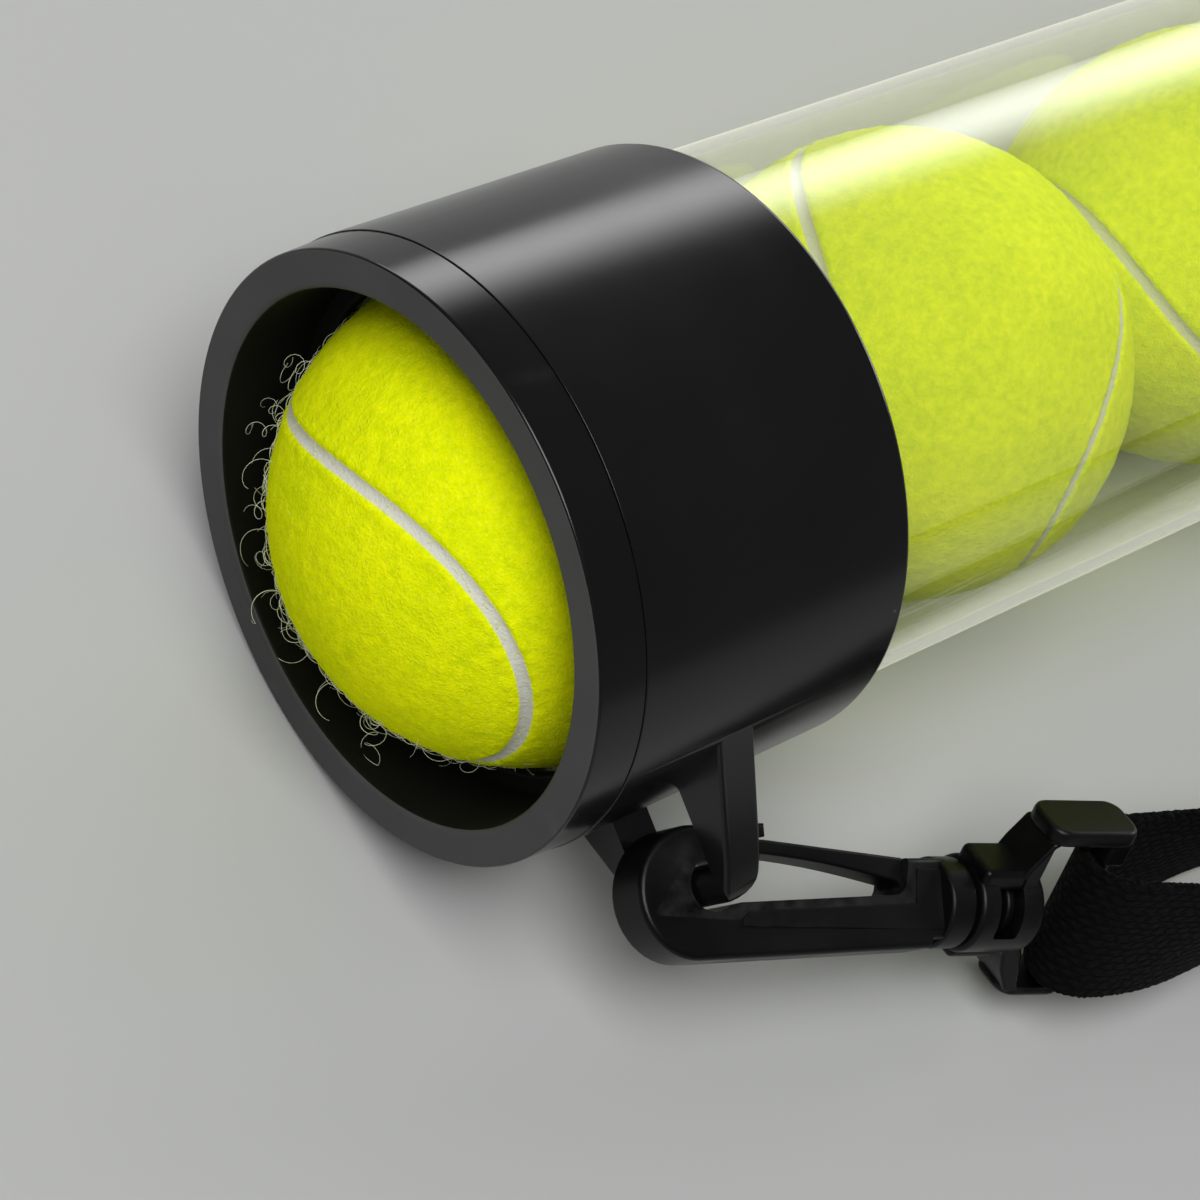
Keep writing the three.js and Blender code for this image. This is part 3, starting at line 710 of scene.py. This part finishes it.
def hook(end, place):
    h = named(hookSizes)
    nose = arc(h.noseU, h.noseV, h.noseRadius, 90, 270, 24)
    lowRun = [(h.notch, h.armLowEnd), (h.notch + h.notchRun, h.shankLow), (h.shankEnd, h.shankLow)]
    topRun = [(h.shankEnd, h.shankTop), (h.shankStart, h.shankTop)]
    root = arc(h.armEnd - h.bite, h.armTopEnd + h.rootRound, h.rootRound, -5, -80, 5)
    throat = arc(0, 0, h.throat, -50, -270, 16)
    outline = [*nose, *lowRun, *topRun, *root, (h.armTopStart, h.armTop), *throat, (0, h.noseTop)]

    def inner(co):
        nearThroat = math.hypot(co.x, co.y) < h.throat + nearly
        onArm = h.armTopStart - 1 < co.x < h.shankStart + nearly and co.y > h.armTop - nearly
        return nearThroat or onArm

    body = slab(outline, h.half, h.round, 5, inner, h.fineRound)
    # The upper part of the arm stands a step proud, down to a crease along the arm
    inset, stepLow = h.stepInset, h.stepV - h.stepSlope
    stepEnd, stepTop = h.shankEnd - inset, h.shankTop - inset - h.bite
    raised = slab(
        [
            (h.stepStart, h.stepV + h.step), (h.shankStart + h.stepBack, stepLow), (stepEnd, stepLow),
            (stepEnd, stepTop), (h.shankStart + inset, stepTop),
            (h.shankStart + h.stepRoot, h.armTopEnd - inset), (h.stepStart + h.stepCut, h.armTop - inset),
            (h.stepStart + h.stepRound, h.armTop - inset - h.stepNick),
        ],
        h.half + h.step, h.stepRound, 2,
    )
    tip = slab(
        [
            (h.tipStart, h.throat), (h.tipThroat, h.throat - h.bite), (h.pocketStart, h.pocketLow),
            (h.pocketStart, h.pocketTop), (h.tipEnd, h.pocketTop), (h.tipEnd, h.tipTop),
            (0, h.noseTop + h.tipRise), (h.tipStart, h.noseTop - h.tipFall),
        ],
        h.half - h.bite, h.fineRound,
    )
    drop = -eyeLook["axisDrop"]
    collar = rod(h.collar, h.shankEnd - h.collarBack, h.collarEnd, drop, h.collarRound)
    stem = rod(h.stem, h.shankEnd, h.stemEnd - 2 * h.bite, drop)
    head = rod(h.head, h.stemEnd - h.headWidth, h.stemEnd, drop, h.headRound)
    bm = moved(moved(gathered(body, raised, tip, collar, stem, head), hookFrame), place)
    finished(end + "_snap_hook", bm, [hookLook], end + "_hook_body", end + "_hook")


def gate(end, place):
    g, h = named(gateSizes), named(hookSizes)
    tip, high, root = h.pocketStart + g.tipGap, h.pocketTop - fit, h.shankStart - fit
    tipLow, rootLow = high - g.tipThick, g.rootV - g.rootThick / 2
    length, rise = root - g.rootLength - tip, rootLow - tipLow
    shares = [i / g.sagSteps for i in range(g.sagSteps + 1)]
    low = [(tip + length * t, tipLow + rise * t + g.sag * math.sin(math.pi * t)) for t in shares]
    outline = [
        (tip, high), *low, (root, rootLow - g.rootDrop), (root, rootLow + g.rootThick), (h.tipEnd, high),
    ]
    bm = moved(moved(slab(outline, g.half, g.round), hookFrame), place)
    finished(end + "_spring_gate", bm, [hookLook], end + "_gate_body", end + "_hook_gate")


def eye(end, place):
    e, h = named(eyeSizes), named(hookSizes)
    stemRoom, headRoom, roomEnd = h.stem + fit, h.head + fit, h.stemEnd + fit
    headStart = h.stemEnd - h.headWidth - fit
    barrel = turned(
        [
            (e.start, stemRoom), (e.start, e.radius), (e.end, e.radius), (e.end, 0), (roomEnd, 0),
            (roomEnd, headRoom), (headStart, headRoom), (headStart, stemRoom), (e.start, stemRoom),
        ],
        [(e.start, e.radius, e.startRound), (e.end, e.radius, e.round)], 64,
    )
    padStart, padInner, padHalf = e.start + e.padBite, h.stem + e.padGap, e.padHalf
    pads = [
        box((padStart, low, -padHalf), (e.padEnd, high, padHalf), e.padRound)
        for low, high in ((padInner, e.padHeight), (e.padLow, -padInner))
    ]
    # The fork: a necked crossbar, and at each end an arm like a rounded pillow with a boss for the bar
    foot, bite, flare = e.armInner + e.footBite, e.footBite, e.flare
    yoke = slab(
        [
            (e.yokeStart, e.yokeLow), (e.lowStart, -e.neck), (e.lowStart + flare, -e.waist),
            (e.armStart[-1] + bite, -foot), (e.lowEnd + e.lowLead, -foot),
            (e.lowEnd + e.lowLead - flare, flare - foot), (e.lowEnd, -e.neck), (e.yokeEnd, 0),
            (e.yokeEnd, foot - flare), (e.yokeEnd + e.footLead, foot), (e.armStart[1] + bite, foot),
            (e.yokeStart + flare, e.waist), (e.yokeStart, e.neck),
        ],
        e.half - e.yokeThin,
    )
    bevelled(yoke, [edge for edge in yoke.edges if edge.calc_face_angle() > e.cornerTurn], e.round, 3)
    arms, barHalf = [], e.armInner + e.bite
    for side in (1, -1):
        a, b, r, half = e.armStart[side], e.armTip, e.armRound, e.half
        outer = e.armOuter[side]
        pillow = slab(
            arc(b - r, half - r, r, 0, 90, 6) + arc(a + r, half - r, r, 90, 180, 6)
            + arc(a + r, r - half, r, 180, 270, 6) + arc(b - r, r - half, r, 270, 360, 6),
            (outer - e.armInner) / 2, e.rimRound, 3,
        )
        shifted(moved(pillow, turnBy(90, "X")), 0, side * (outer + e.armInner) / 2, 0)
        low, high = sorted((side * e.bossInner, side * barHalf))
        bossEnd = (b - e.bossShort, high, half - e.bossDown)
        boss = box((e.bossStart, low, e.bossLow), bossEnd, e.bossRound, 3)
        arms += [pillow, boss]
    bar = shifted(moved(rod(e.bar, -barHalf, barHalf), turnBy(90, "Z")), e.barS, 0, 0)
    half, through = e.windowHalf, e.radius + overrun
    window = box((e.windowStart, -half, -through), (e.windowEnd, half, through), e.windowRound, 2)
    window = moved(window, turnBy(e.windowTurn, "X"))
    yoke = carved(carved(yoke, rod(headRoom, e.yokeStart - overrun, roomEnd)), window)
    bm = moved(moved(gathered(carved(barrel, window), *pads, yoke, *arms, bar), eyeFrame), place)
    finished(end + "_eye_yoke", bm, [hookLook], end + "_eye_body", end + "_swivel_eye")


for end, place in ends.items():
    hook(end, place)
    gate(end, place)
    eye(end, place)
print("hooks, gates and eyes made")


# Webbing, laid along paths of (place, across) with an even width and thickness

strapSizes = {
    "width": 20, "thick": 1.4, "roundSteps": 4, "acrossSteps": 18, "scallop": 0.2, "scallopPitch": 1.3,
    "ragged": 0.3, "raggedPitch": 0.7, "edge": 0.75, "edgeShift": 2, "fineStep": 0.4, "step": 1.8,
    "runStart": 120, "dense": 40, "sharp": 50,
}
sliderLow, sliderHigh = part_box("strap_slider")
sliderX, stripZ = (sliderLow.x + sliderHigh.x) / 2, (sliderLow.z + sliderHigh.z) / 2
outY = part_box("strap_long")[0].y + strapSizes["thick"] / 2 * mm
plyGap = strapSizes["thick"] + fit
upright = Vector((0, 0, 1))


def crossSection():
    # The webbing's section as (across, out) in mm, flat faces and round edges
    s = named(strapSizes)
    half, thick = s.width / 2, s.thick / 2
    flat = half - thick
    top = [(-flat + 2 * flat * i / s.acrossSteps, thick) for i in range(s.acrossSteps + 1)]
    right = arc(flat, 0, thick, 90, -90, 2 * s.roundSteps)[1:-1]
    bottom = [(x, -thick) for x, y in reversed(top)]
    left = arc(-flat, 0, thick, -90, -270, 2 * s.roundSteps)[1:-1]
    return top + right + bottom + left


def smoothPath(points, step):
    # Even steps, in mm, along a smooth line through (place, across) knots
    dense = strapSizes["dense"]

    def at(i, t):
        knots = [points[min(max(k, 0), len(points) - 1)] for k in (i - 1, i, i + 1, i + 2)]
        return [
            0.5 * (2 * b + (c - a) * t + (2 * a - 5 * b + 4 * c - d) * t * t
                   + (3 * b - a - 3 * c + d) * t ** 3)
            for a, b, c, d in zip(*knots)
        ]

    fine = [at(i, t / dense) for i in range(len(points) - 1) for t in range(dense)]
    fine.append([p.copy() for p in points[-1]])
    lengths = [0]
    for before, after in zip(fine, fine[1:]):
        lengths.append(lengths[-1] + (after[0] - before[0]).length)
    count = max(2, round(lengths[-1] / (step * mm)))
    rows, k = [], 0
    for i in range(count + 1):
        goal = lengths[-1] * i / count
        while k < len(lengths) - 2 and lengths[k + 1] < goal:
            k += 1
        t = (goal - lengths[k]) / max(lengths[k + 1] - lengths[k], 1e-12)
        rows.append((fine[k][0].lerp(fine[k + 1][0], t), fine[k][1].lerp(fine[k + 1][1], t), goal))
    return rows


def strapPiece(name, knots, node, blended=None, body=None, place=ends["front"], step=None, runStart=None):
    # A tube of the webbing's section, its weave running on from runStart mm
    s, section = named(strapSizes), crossSection()
    rows = smoothPath(knots, s.step if step is None else step)
    weaveStart = (s.runStart if runStart is None else runStart) * mm
    last, around = len(rows) - 1, len(section)
    bm = bmesh.new()
    uvMap = bm.loops.layers.uv.new("webbingRun")
    bmesh.ops.create_grid(bm, x_segments=last, y_segments=around, size=0.5)
    spots = {v: (round((v.co.x + 0.5) * last), round((v.co.y + 0.5) * around)) for v in bm.verts}
    for face in bm.faces:
        for loop in face.loops:
            i, k = spots[loop.vert]
            loop[uvMap].uv = (rows[i][2] + weaveStart, section[k % around][0] * mm)
    for vert, (i, k) in spots.items():
        middle, across, run = rows[i]
        run += weaveStart
        along = (rows[min(i + 1, last)][0] - rows[max(i - 1, 0)][0]).normalized()
        side = (across - along * across.dot(along)).normalized()
        out = side.cross(along)
        a, f = section[k % around]
        if abs(a) > s.width / 2 - s.thick * s.edge:
            wave = math.sin(2 * math.pi * run / (s.scallopPitch * mm) + (a > 0) * s.edgeShift)
            frayed = noise.noise(Vector((run / mm * s.raggedPitch, a, 0))) * s.ragged
            a += math.copysign(s.scallop * wave + frayed, a)
        vert.co = middle + side * (a * mm) + out * (f * mm)
    for end in (0, last):
        rim = [v for v, (i, k) in spots.items() if i == end and k < around]
        bm.faces.new(sorted(rim, key=lambda v: spots[v][1]))
    moved(merged(bm, 1e-6), place)
    finished(name, bm, [webbing], body, node, s.sharp, blended, even=False)


def inEye(s, n, w=0.0):
    # A place beside the eye: s along the shank, n out of the eye's face, w across it
    return eyeFrame @ Vector((s, w, n))


def leaning(share):
    # The webbing's across direction, turned from the eye's plane to upright
    flat = (eyeFrame.to_3x3() @ Vector((0, 1, 0))).normalized()
    return flat.lerp(upright, share).normalized()


# Each knot is a place beside the eye and how upright the webbing stands there
bowKnots = {
    "outer": [
        (104, 4.2, 1.5, 1.0), (98, 5.0, 1.0, 0.95), (92, 5.7, 0.5, 0.85), (86, 6.5, 0.2, 0.62),
        (80, 7.3, 0, 0.38), (74, 7.9, 0, 0.18), (68, 8.2, 0, 0.06), (64, 8.1, 0, 0),
    ],
    "turn": [
        (61.0, 7.4, 0, 0), (59.2, 5.8, 0, 0), (58.5, 3.6, 0, 0), (59.0, 1.4, 0, 0), (60.6, -1.2, 0, 0),
        (63.2, -3.5, 0, 0),
    ],
    "inner": [
        (67, -5.3, 0, 0), (72, -6.8, 0, 0.06), (77, -8.0, 0.1, 0.2), (83, -9.3, 0.6, 0.42),
        (89, -10.3, 1.4, 0.64), (95, -10.9, 2.6, 0.84), (101, -11.2, 3.8, 0.96), (107, -11.3, 4.8, 1.0),
    ],
}
strapRun = {
    "middleHalf": 105, "middleLead": 20, "startLead": 26, "lead": 0.36, "overlap": 0.8, "blendLead": 4,
    "bowBlend": (101, 66), "loopRunStart": 300, "loopEnd": 16.3, "loopBlend": 10,
    "tailSeat": 58, "tailGap": 0.1, "tailBlend": 150, "tailStep": 2, "tailAhead": 3, "cutKnots": 4,
}
blendLead = Vector((strapRun["blendLead"] * mm, 0, 0))


def bezier(start, startWay, end, endWay, steps=12):
    # Knots along a cubic curve, upright throughout
    a, b, c, d = start, start + startWay, end - endWay, end
    return [
        [a * (1 - t) ** 3 + b * 3 * t * (1 - t) ** 2 + c * 3 * t * t * (1 - t) + d * t ** 3, upright]
        for t in [i / steps for i in range(steps + 1)]
    ]


def strapBow(end, place):
    rows = bowKnots["outer"] + bowKnots["turn"] + bowKnots["inner"]
    knots = [[inEye(s, n, w), leaning(t)] for s, n, w, t in rows]
    start, stop = [place @ inEye(s, 0) for s in strapRun["bowBlend"]]
    blended = (end + "_hook_body", end + "_eye_body", start, stop)
    fine = strapSizes["fineStep"]
    strapPiece(end + "_webbing_bow", knots, f"strap_{end}_bow", blended, place=place, step=fine, runStart=0)


def runOf(ply, inset):
    # Knots from the end of the bow to the straight middle of the strap
    rows = bowKnots[ply] if ply == "outer" else bowKnots[ply][::-1]
    start, before = inEye(*rows[0][:3]), inEye(*rows[1][:3])
    way = (start - before).normalized()
    start = start - way * strapRun["overlap"] * mm
    end = Vector((middleX - strapRun["middleHalf"] * mm, outY + inset * mm, stripZ))
    lead = strapRun["lead"] * (end - start).length
    return bezier(start, way * strapRun["startLead"] * mm, end, Vector((lead, 0, 0)))


def longStrap(end, place):
    # Half of the outer ply, from the middle to one bow
    run, z = runOf("outer", 0), named(strapRun)
    middle = [Vector((middleX, outY, stripZ)), upright]
    start = place @ Vector((middleX - z.middleHalf * mm - z.middleLead * mm, run[-1][0].y, stripZ))
    blended = ("tube_body", end + "_hook_body", start, place @ (run[0][0] + blendLead))
    strapPiece("webbing_long_" + end, run + [middle], "strap_long", blended, place=place)


def returnPly():
    # The inner ply from the front bow to the slider's loop, cut where its two blends meet
    run, z = runOf("inner", plyGap), named(strapRun)
    cut = len(run) - z.cutKnots
    last = [Vector((sliderX - z.loopEnd * mm, outY + plyGap * mm, stripZ)), upright]
    blended = ("tube_body", "front_hook_body", run[cut][0], run[0][0] + blendLead)
    strapPiece("webbing_return_front", run[:cut + 1], "strap_return", blended)
    start = run[cut][0] + Vector((z.loopBlend * mm, 0, 0))
    blended = ("tube_body", "slider_body", start, last[0] - blendLead)
    strapPiece("webbing_return_rear", run[cut:] + [last], "strap_return", blended, runStart=z.loopRunStart)


def rearTail():
    # The sewn tail: in from the rear eye's inner side to the long strap
    run, z = runOf("inner", plyGap), named(strapRun)
    start = run[0][0]
    outer = smoothPath(runOf("outer", 0), z.tailStep)
    seat = next(row for row in outer if row[0].x > start.x + z.tailSeat * mm)
    after = outer[outer.index(seat) + z.tailAhead]
    along = (after[0] - seat[0]).normalized()
    end = seat[0] + upright.cross(along) * (plyGap + z.tailGap) * mm
    lead = z.lead * (end - start).length
    knots = bezier(start, (run[1][0] - start).normalized() * lead, end, along * lead, 8)
    sewn = mirrored @ (end + Vector((z.tailBlend * mm, 0, 0)))
    blended = ("tube_body", "rear_hook_body", sewn, mirrored @ (start + blendLead))
    strapPiece("webbing_rear_tail", knots, "strap_rear_tail", blended, place=mirrored)


for end, place in ends.items():
    strapBow(end, place)
for end, place in ends.items():
    longStrap(end, place)
returnPly()
rearTail()
print("webbing made")


# Slider and the sewn loop round its bar

sliderSizes = {
    "rail": 2.6, "half": 10.4, "bar": 1.2, "bite": 0.8, "round": 0.6, "loopLead": 16, "loopSpread": 0.4,
    "loopStep": 0.8, "runStart": 400,
}


def slider():
    z, thick = named(sliderSizes), strapSizes["thick"]
    half, barWide = strapSizes["width"] / 2 + fit, 2 * z.bar
    reach = half + z.bite
    out = -thick / 2 - fit - barWide
    wrap = z.bar + fit + thick / 2
    inset = plyGap + wrap
    centre = Matrix.Translation((sliderX, outY, stripZ)) @ Matrix.Scale(mm, 4)
    rails = [
        box((-z.half, out, low), (z.half, inset + z.bar, low + z.rail), z.round)
        for low in (half, -half - z.rail)
    ]
    ties = [
        box((x, out, -reach), (x + barWide, out + barWide, reach), z.round)
        for x in (-z.half, z.half - barWide)
    ]
    bar = shifted(moved(rod(z.bar, -reach, reach), turnBy(90, "Y")), 0, inset, 0)
    bm = moved(gathered(*rails, *ties, bar), centre)
    finished("slider_frame", bm, [hookLook], "slider_body", "strap_slider")
    bend = arc(0, inset, wrap, -90, 90, 10)
    lead, back = -z.loopLead, plyGap + thick + fit
    path = [(lead, plyGap), (lead / 2, plyGap), *bend, (lead / 2, back + z.loopSpread), (lead, back)]
    knots = [[centre @ Vector((x, y, 0)), upright] for x, y in path]
    strapPiece(
        "webbing_slider_loop", knots, "strap_slider_loop", body="slider_body", step=z.loopStep,
        runStart=z.runStart,
    )


slider()
print("slider made")


# Balls: felt over a seam, with loose hairs

ballTurns = {1: (130.6, -166.4, -28.1), 2: (69.2, 39.8, -45.7), 3: (-61.3, -115.7, -181.6)}
# Short nap all over, and long curls where the felt of the first ball has come loose
napSizes = {
    "length": (0.8, 2.4), "curl": (0.5, 1.5), "lift": (0.15, 0.7), "rows": 4, "thick": 0.032, "proud": 0.6,
    "counts": {1: 2700, 2: 1500, 3: 1500}, "plain": 260,
}
curlSizes = {
    "length": (4, 22), "curl": (0.9, 2.4), "lift": (0.2, 1.3), "rows": 32, "thick": 0.052, "proud": 5.5,
    "counts": {1: 170}, "plain": 0, "limb": (-42, 78), "bore": 34.4,
}
fringeSizes = {
    "length": (1.6, 4.5), "curl": (0.6, 1.6), "lift": (0.3, 1.6), "rows": 8, "thick": 0.042, "proud": 2.2,
    "counts": {1: 420}, "plain": 0, "limb": (-60, 88), "bore": 34.4,
}
hairShape = {"limbSpread": 0.05, "spread": 0.35, "root": 0.15, "taper": 0.7, "curlChange": (0.95, 1.06)}
# Where the felt is loose: round the rim of the first ball from its left side, towards its low side
looseSide, looseLow = Vector((-0.755, 0.51, -0.412)), Vector((-0.318, -0.835, -0.45))


def seamPoints(steps=240):
    b = ballSizes["seamShare"]
    a = 1 - b
    turns = [2 * math.pi * i / steps for i in range(steps)]
    return [
        Vector((a * math.cos(t) + b * math.cos(3 * t), a * math.sin(t) - b * math.sin(3 * t),
                2 * math.sqrt(a * b) * math.sin(2 * t)))
        for t in turns
    ]


def anyWay(chance, size=1):
    return Vector([chance.gauss(0, size) for _ in range(3)])


def hairs(chance, kind, count, centre):
    # Curling hairs as one curve of many short lines, thinner to their tips
    curve = bpy.data.curves.new("hairs", "CURVE")
    curve.dimensions = "3D"
    curve.bevel_depth = kind["thick"] * mm
    curve.bevel_resolution = 0
    curve.use_fill_caps = True
    radius, rows, s = ballSizes["felt"], kind["rows"], named(hairShape)
    for _ in range(count):
        out = anyWay(chance).normalized()
        side = out.cross(anyWay(chance)).normalized()
        if "limb" in kind:
            turn = math.radians(chance.uniform(*kind["limb"]))
            out = (looseSide * math.cos(turn) + looseLow * math.sin(turn) + out * s.limbSpread).normalized()
            face = looseSide.cross(looseLow) * chance.choice((1, -1))
            side = (out.cross(face) + side * s.spread).normalized()
        axis = (side.cross(out) + anyWay(chance, s.spread)).normalized()
        step = chance.uniform(*kind["length"]) / (rows - 1)
        curl = chance.uniform(*kind["curl"])
        way = (side + out * chance.uniform(*kind["lift"])).normalized()
        place = out * (radius - s.root)
        spline = curve.splines.new("POLY")
        spline.points.add(rows - 1)
        for k in range(rows):
            reach = radius + kind["proud"]
            place = place * min(1, reach / place.length)
            flat = math.hypot(place.y, place.z)
            if "bore" in kind and flat > kind["bore"]:
                place = Vector((place.x, place.y * kind["bore"] / flat, place.z * kind["bore"] / flat))
            spline.points[k].co = (*(centre + place * mm), 1)
            spline.points[k].radius = 1 - s.taper * k / (rows - 1)
            way = Matrix.Rotation(-step / curl, 3, axis) @ way
            curl *= chance.uniform(*s.curlChange)
            place = place + way * step
    thing = added("hairs", curve)
    mesh = bpy.data.meshes.new_from_object(evaluated(thing))
    bpy.data.objects.remove(thing)
    return mesh


def ball(number):
    s = named(ballSizes)
    node = f"ball_{number:02d}"
    low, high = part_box(node)
    centre = (low + high) / 2
    chance = random.Random(number)
    turn = ballTurns.get(number) or tuple(chance.uniform(-180, 180) for _ in range(3))
    spin = Euler([math.radians(a) for a in turn]).to_matrix()
    seam = [spin @ p for p in seamPoints()]
    detailed = number in ballTurns
    tree = KDTree(len(seam))
    for i, p in enumerate(seam):
        tree.insert(p, i)
    tree.balance()

    def seamGap(out):
        # Distance from the middle of the seam, in mm, below zero on one side of it
        found, i, gap = tree.find(out)
        line = (seam[(i + 1) % len(seam)] - seam[i - 1]).normalized()
        across = out - found - line * (out - found).dot(line)
        return math.copysign(across.length * s.felt, line.cross(found).dot(across))

    bm = bmesh.new()
    bmesh.ops.create_icosphere(bm, subdivisions=s.fineLevel if detailed else s.plainLevel, radius=1)
    gaps = bm.verts.layers.float.new("seam")
    near = {v for v in bm.verts if abs(seamGap(v.co.normalized())) < s.nearSeam}
    fine = [e for e in bm.edges if all(v in near for v in e.verts)]
    bmesh.ops.subdivide_edges(bm, edges=fine, cuts=1, use_grid_fill=True)
    bmesh.ops.triangulate(bm, faces=bm.faces)
    for vert in bm.verts:
        out = vert.co.normalized()
        signed = seamGap(out)
        gap = abs(signed)
        inSeam = 1 - min(max((gap - s.seamHalf) / s.seamBlend + 0.5, 0), 1)
        lip = math.exp(-((gap - s.seamHalf - s.lipOut) / s.lipWide) ** 2)
        rough = noise.noise(out * s.felt * s.slow + Vector((number * s.noiseShift, 0, 0))) * s.rough
        rough += noise.noise(out * s.felt * s.fast) * s.rough * s.fastShare
        radius = s.felt + rough * (1 - inSeam) - s.seamDepth * inSeam + s.lipRise * lip
        vert[gaps] = signed
        vert.co = centre + out * radius * mm
    for index, kind in enumerate((napSizes, curlSizes, fringeSizes)):
        count = kind["counts"].get(number, kind["plain"])
        if not count:
            continue
        start = len(bm.faces)
        grown = bmesh.new()
        hairMesh = hairs(chance, kind, count, centre)
        grown.from_mesh(hairMesh)
        bmesh.ops.remove_doubles(grown, verts=grown.verts, dist=1e-7)
        grown.to_mesh(hairMesh)
        bm.from_mesh(hairMesh)
        bpy.data.meshes.remove(hairMesh)
        bm.faces.ensure_lookup_table()
        for face in bm.faces[start:]:
            face.material_index = min(index + 1, len(hairLooks))
    finished("felt_" + node, bm, [ballFelt, *hairLooks], "ball_stack", node, 180, even=False)


for number in range(1, 16):
    ball(number)
print("balls made")


# Floor, light and camera

stageSizes = {"floor": 6, "floorColour": (0.4, 0.405, 0.4), "floorPale": 1.04}
cameraSizes = {
    "place": (-0.72714, -0.05539, 0.38981), "right": (0.7553, -0.50982, 0.41194),
    "up": (0.318, 0.83457, 0.44976), "lens": 104.28, "sensor": 36, "near": 0.01,
}


def floor():
    bm = bmesh.new()
    bmesh.ops.create_grid(bm, x_segments=1, y_segments=1, size=stageSizes["floor"])
    mesh = meshOf(bm, "floor")
    look, tree, shader, where = materialOf("floorPaint", Roughness=0.55, Specular_IOR_Level=0.3)
    colour = stageSizes["floorColour"]
    pale = tuple(c * stageSizes["floorPale"] for c in colour)
    fill(shader, Base_Color=mixed(noiseOf(where["Object"], 3, 3), colour, pale))
    mesh.materials.append(look)
    added("floor", mesh)


# Place, aim, width, height and power of the softboxes, and the soft light of the room round them
lampSizes = {
    "lamps": {
        "front": ((-1.0, -0.12, 1.5), (-0.45, 0.05, 0.03), 0.95, 0.95, 25),
        "far": ((1.75, -0.1, 0.75), (0.4, 0, 0.02), 0.7, 0.7, 12),
    },
    "room": 0.16, "seen": 0.8, "window": 6.2, "windowTurn": 50, "windowRise": 0.2, "windowTall": 0.3,
    "windowWide": 0.62,
}


def lamp(name, place, aim, width, height, power):
    light = bpy.data.lights.new(name, "AREA")
    light.shape, light.size, light.size_y, light.energy = "RECTANGLE", width, height, power
    thing = added(name, light)
    thing.location = place
    thing.rotation_euler = (Vector(aim) - Vector(place)).to_track_quat("-Z", "Y").to_euler()


def setCamera():
    c = named(cameraSizes)
    lens = bpy.data.cameras.new("view")
    lens.lens, lens.sensor_width = c.lens, c.sensor
    lens.clip_start = c.near
    right, up = Vector(c.right).normalized(), Vector(c.up).normalized()
    thing = added("view", lens)
    turn = Matrix((right, up, right.cross(up))).transposed().to_4x4()
    thing.matrix_world = Matrix.Translation(c.place) @ turn
    bpy.context.scene.camera = thing


def setWorld():
    # Even light, and a broad soft window low behind the tube; to the eye the room is plain and pale
    z = named(lampSizes)
    world = bpy.data.worlds.new("studio")
    world.use_nodes = True
    tree = world.node_tree
    back = tree.nodes["Background"]
    parts = fill(nodeIn(tree, "SeparateXYZ"), Vector=nodeIn(tree, "TexCoord").outputs["Generated"]).outputs
    turn = math.radians(z.windowTurn)
    ahead = times(parts[0], math.cos(turn))
    ahead = plus(ahead, times(parts[1], math.sin(turn)))
    rise = worked("ABSOLUTE", worked("SUBTRACT", parts[2], z.windowRise))
    masks = [spread(rise, 0, z.windowTall, 1, 0), spread(ahead, z.windowWide, 1, 0, 1)]
    for node in [n for n in tree.nodes if n.type == "MAP_RANGE"]:
        node.interpolation_type = "SMOOTHSTEP"
    window = times(times(*masks), z.window)
    light = plus(window, z.room)
    path = nodeIn(tree, "LightPath").outputs
    seen = worked("MAXIMUM", path["Is Camera Ray"], path["Is Transmission Ray"])
    feed(back.inputs[0], mixed(seen, light, (z.seen,) * 3))
    feed(back.inputs[1], 1)
    bpy.context.scene.world = world


floor()
for name, sizes in lampSizes["lamps"].items():
    lamp(name, *sizes)
setCamera()
setWorld()
bpy.context.scene.view_settings.view_transform = "Standard"

print("scene made")
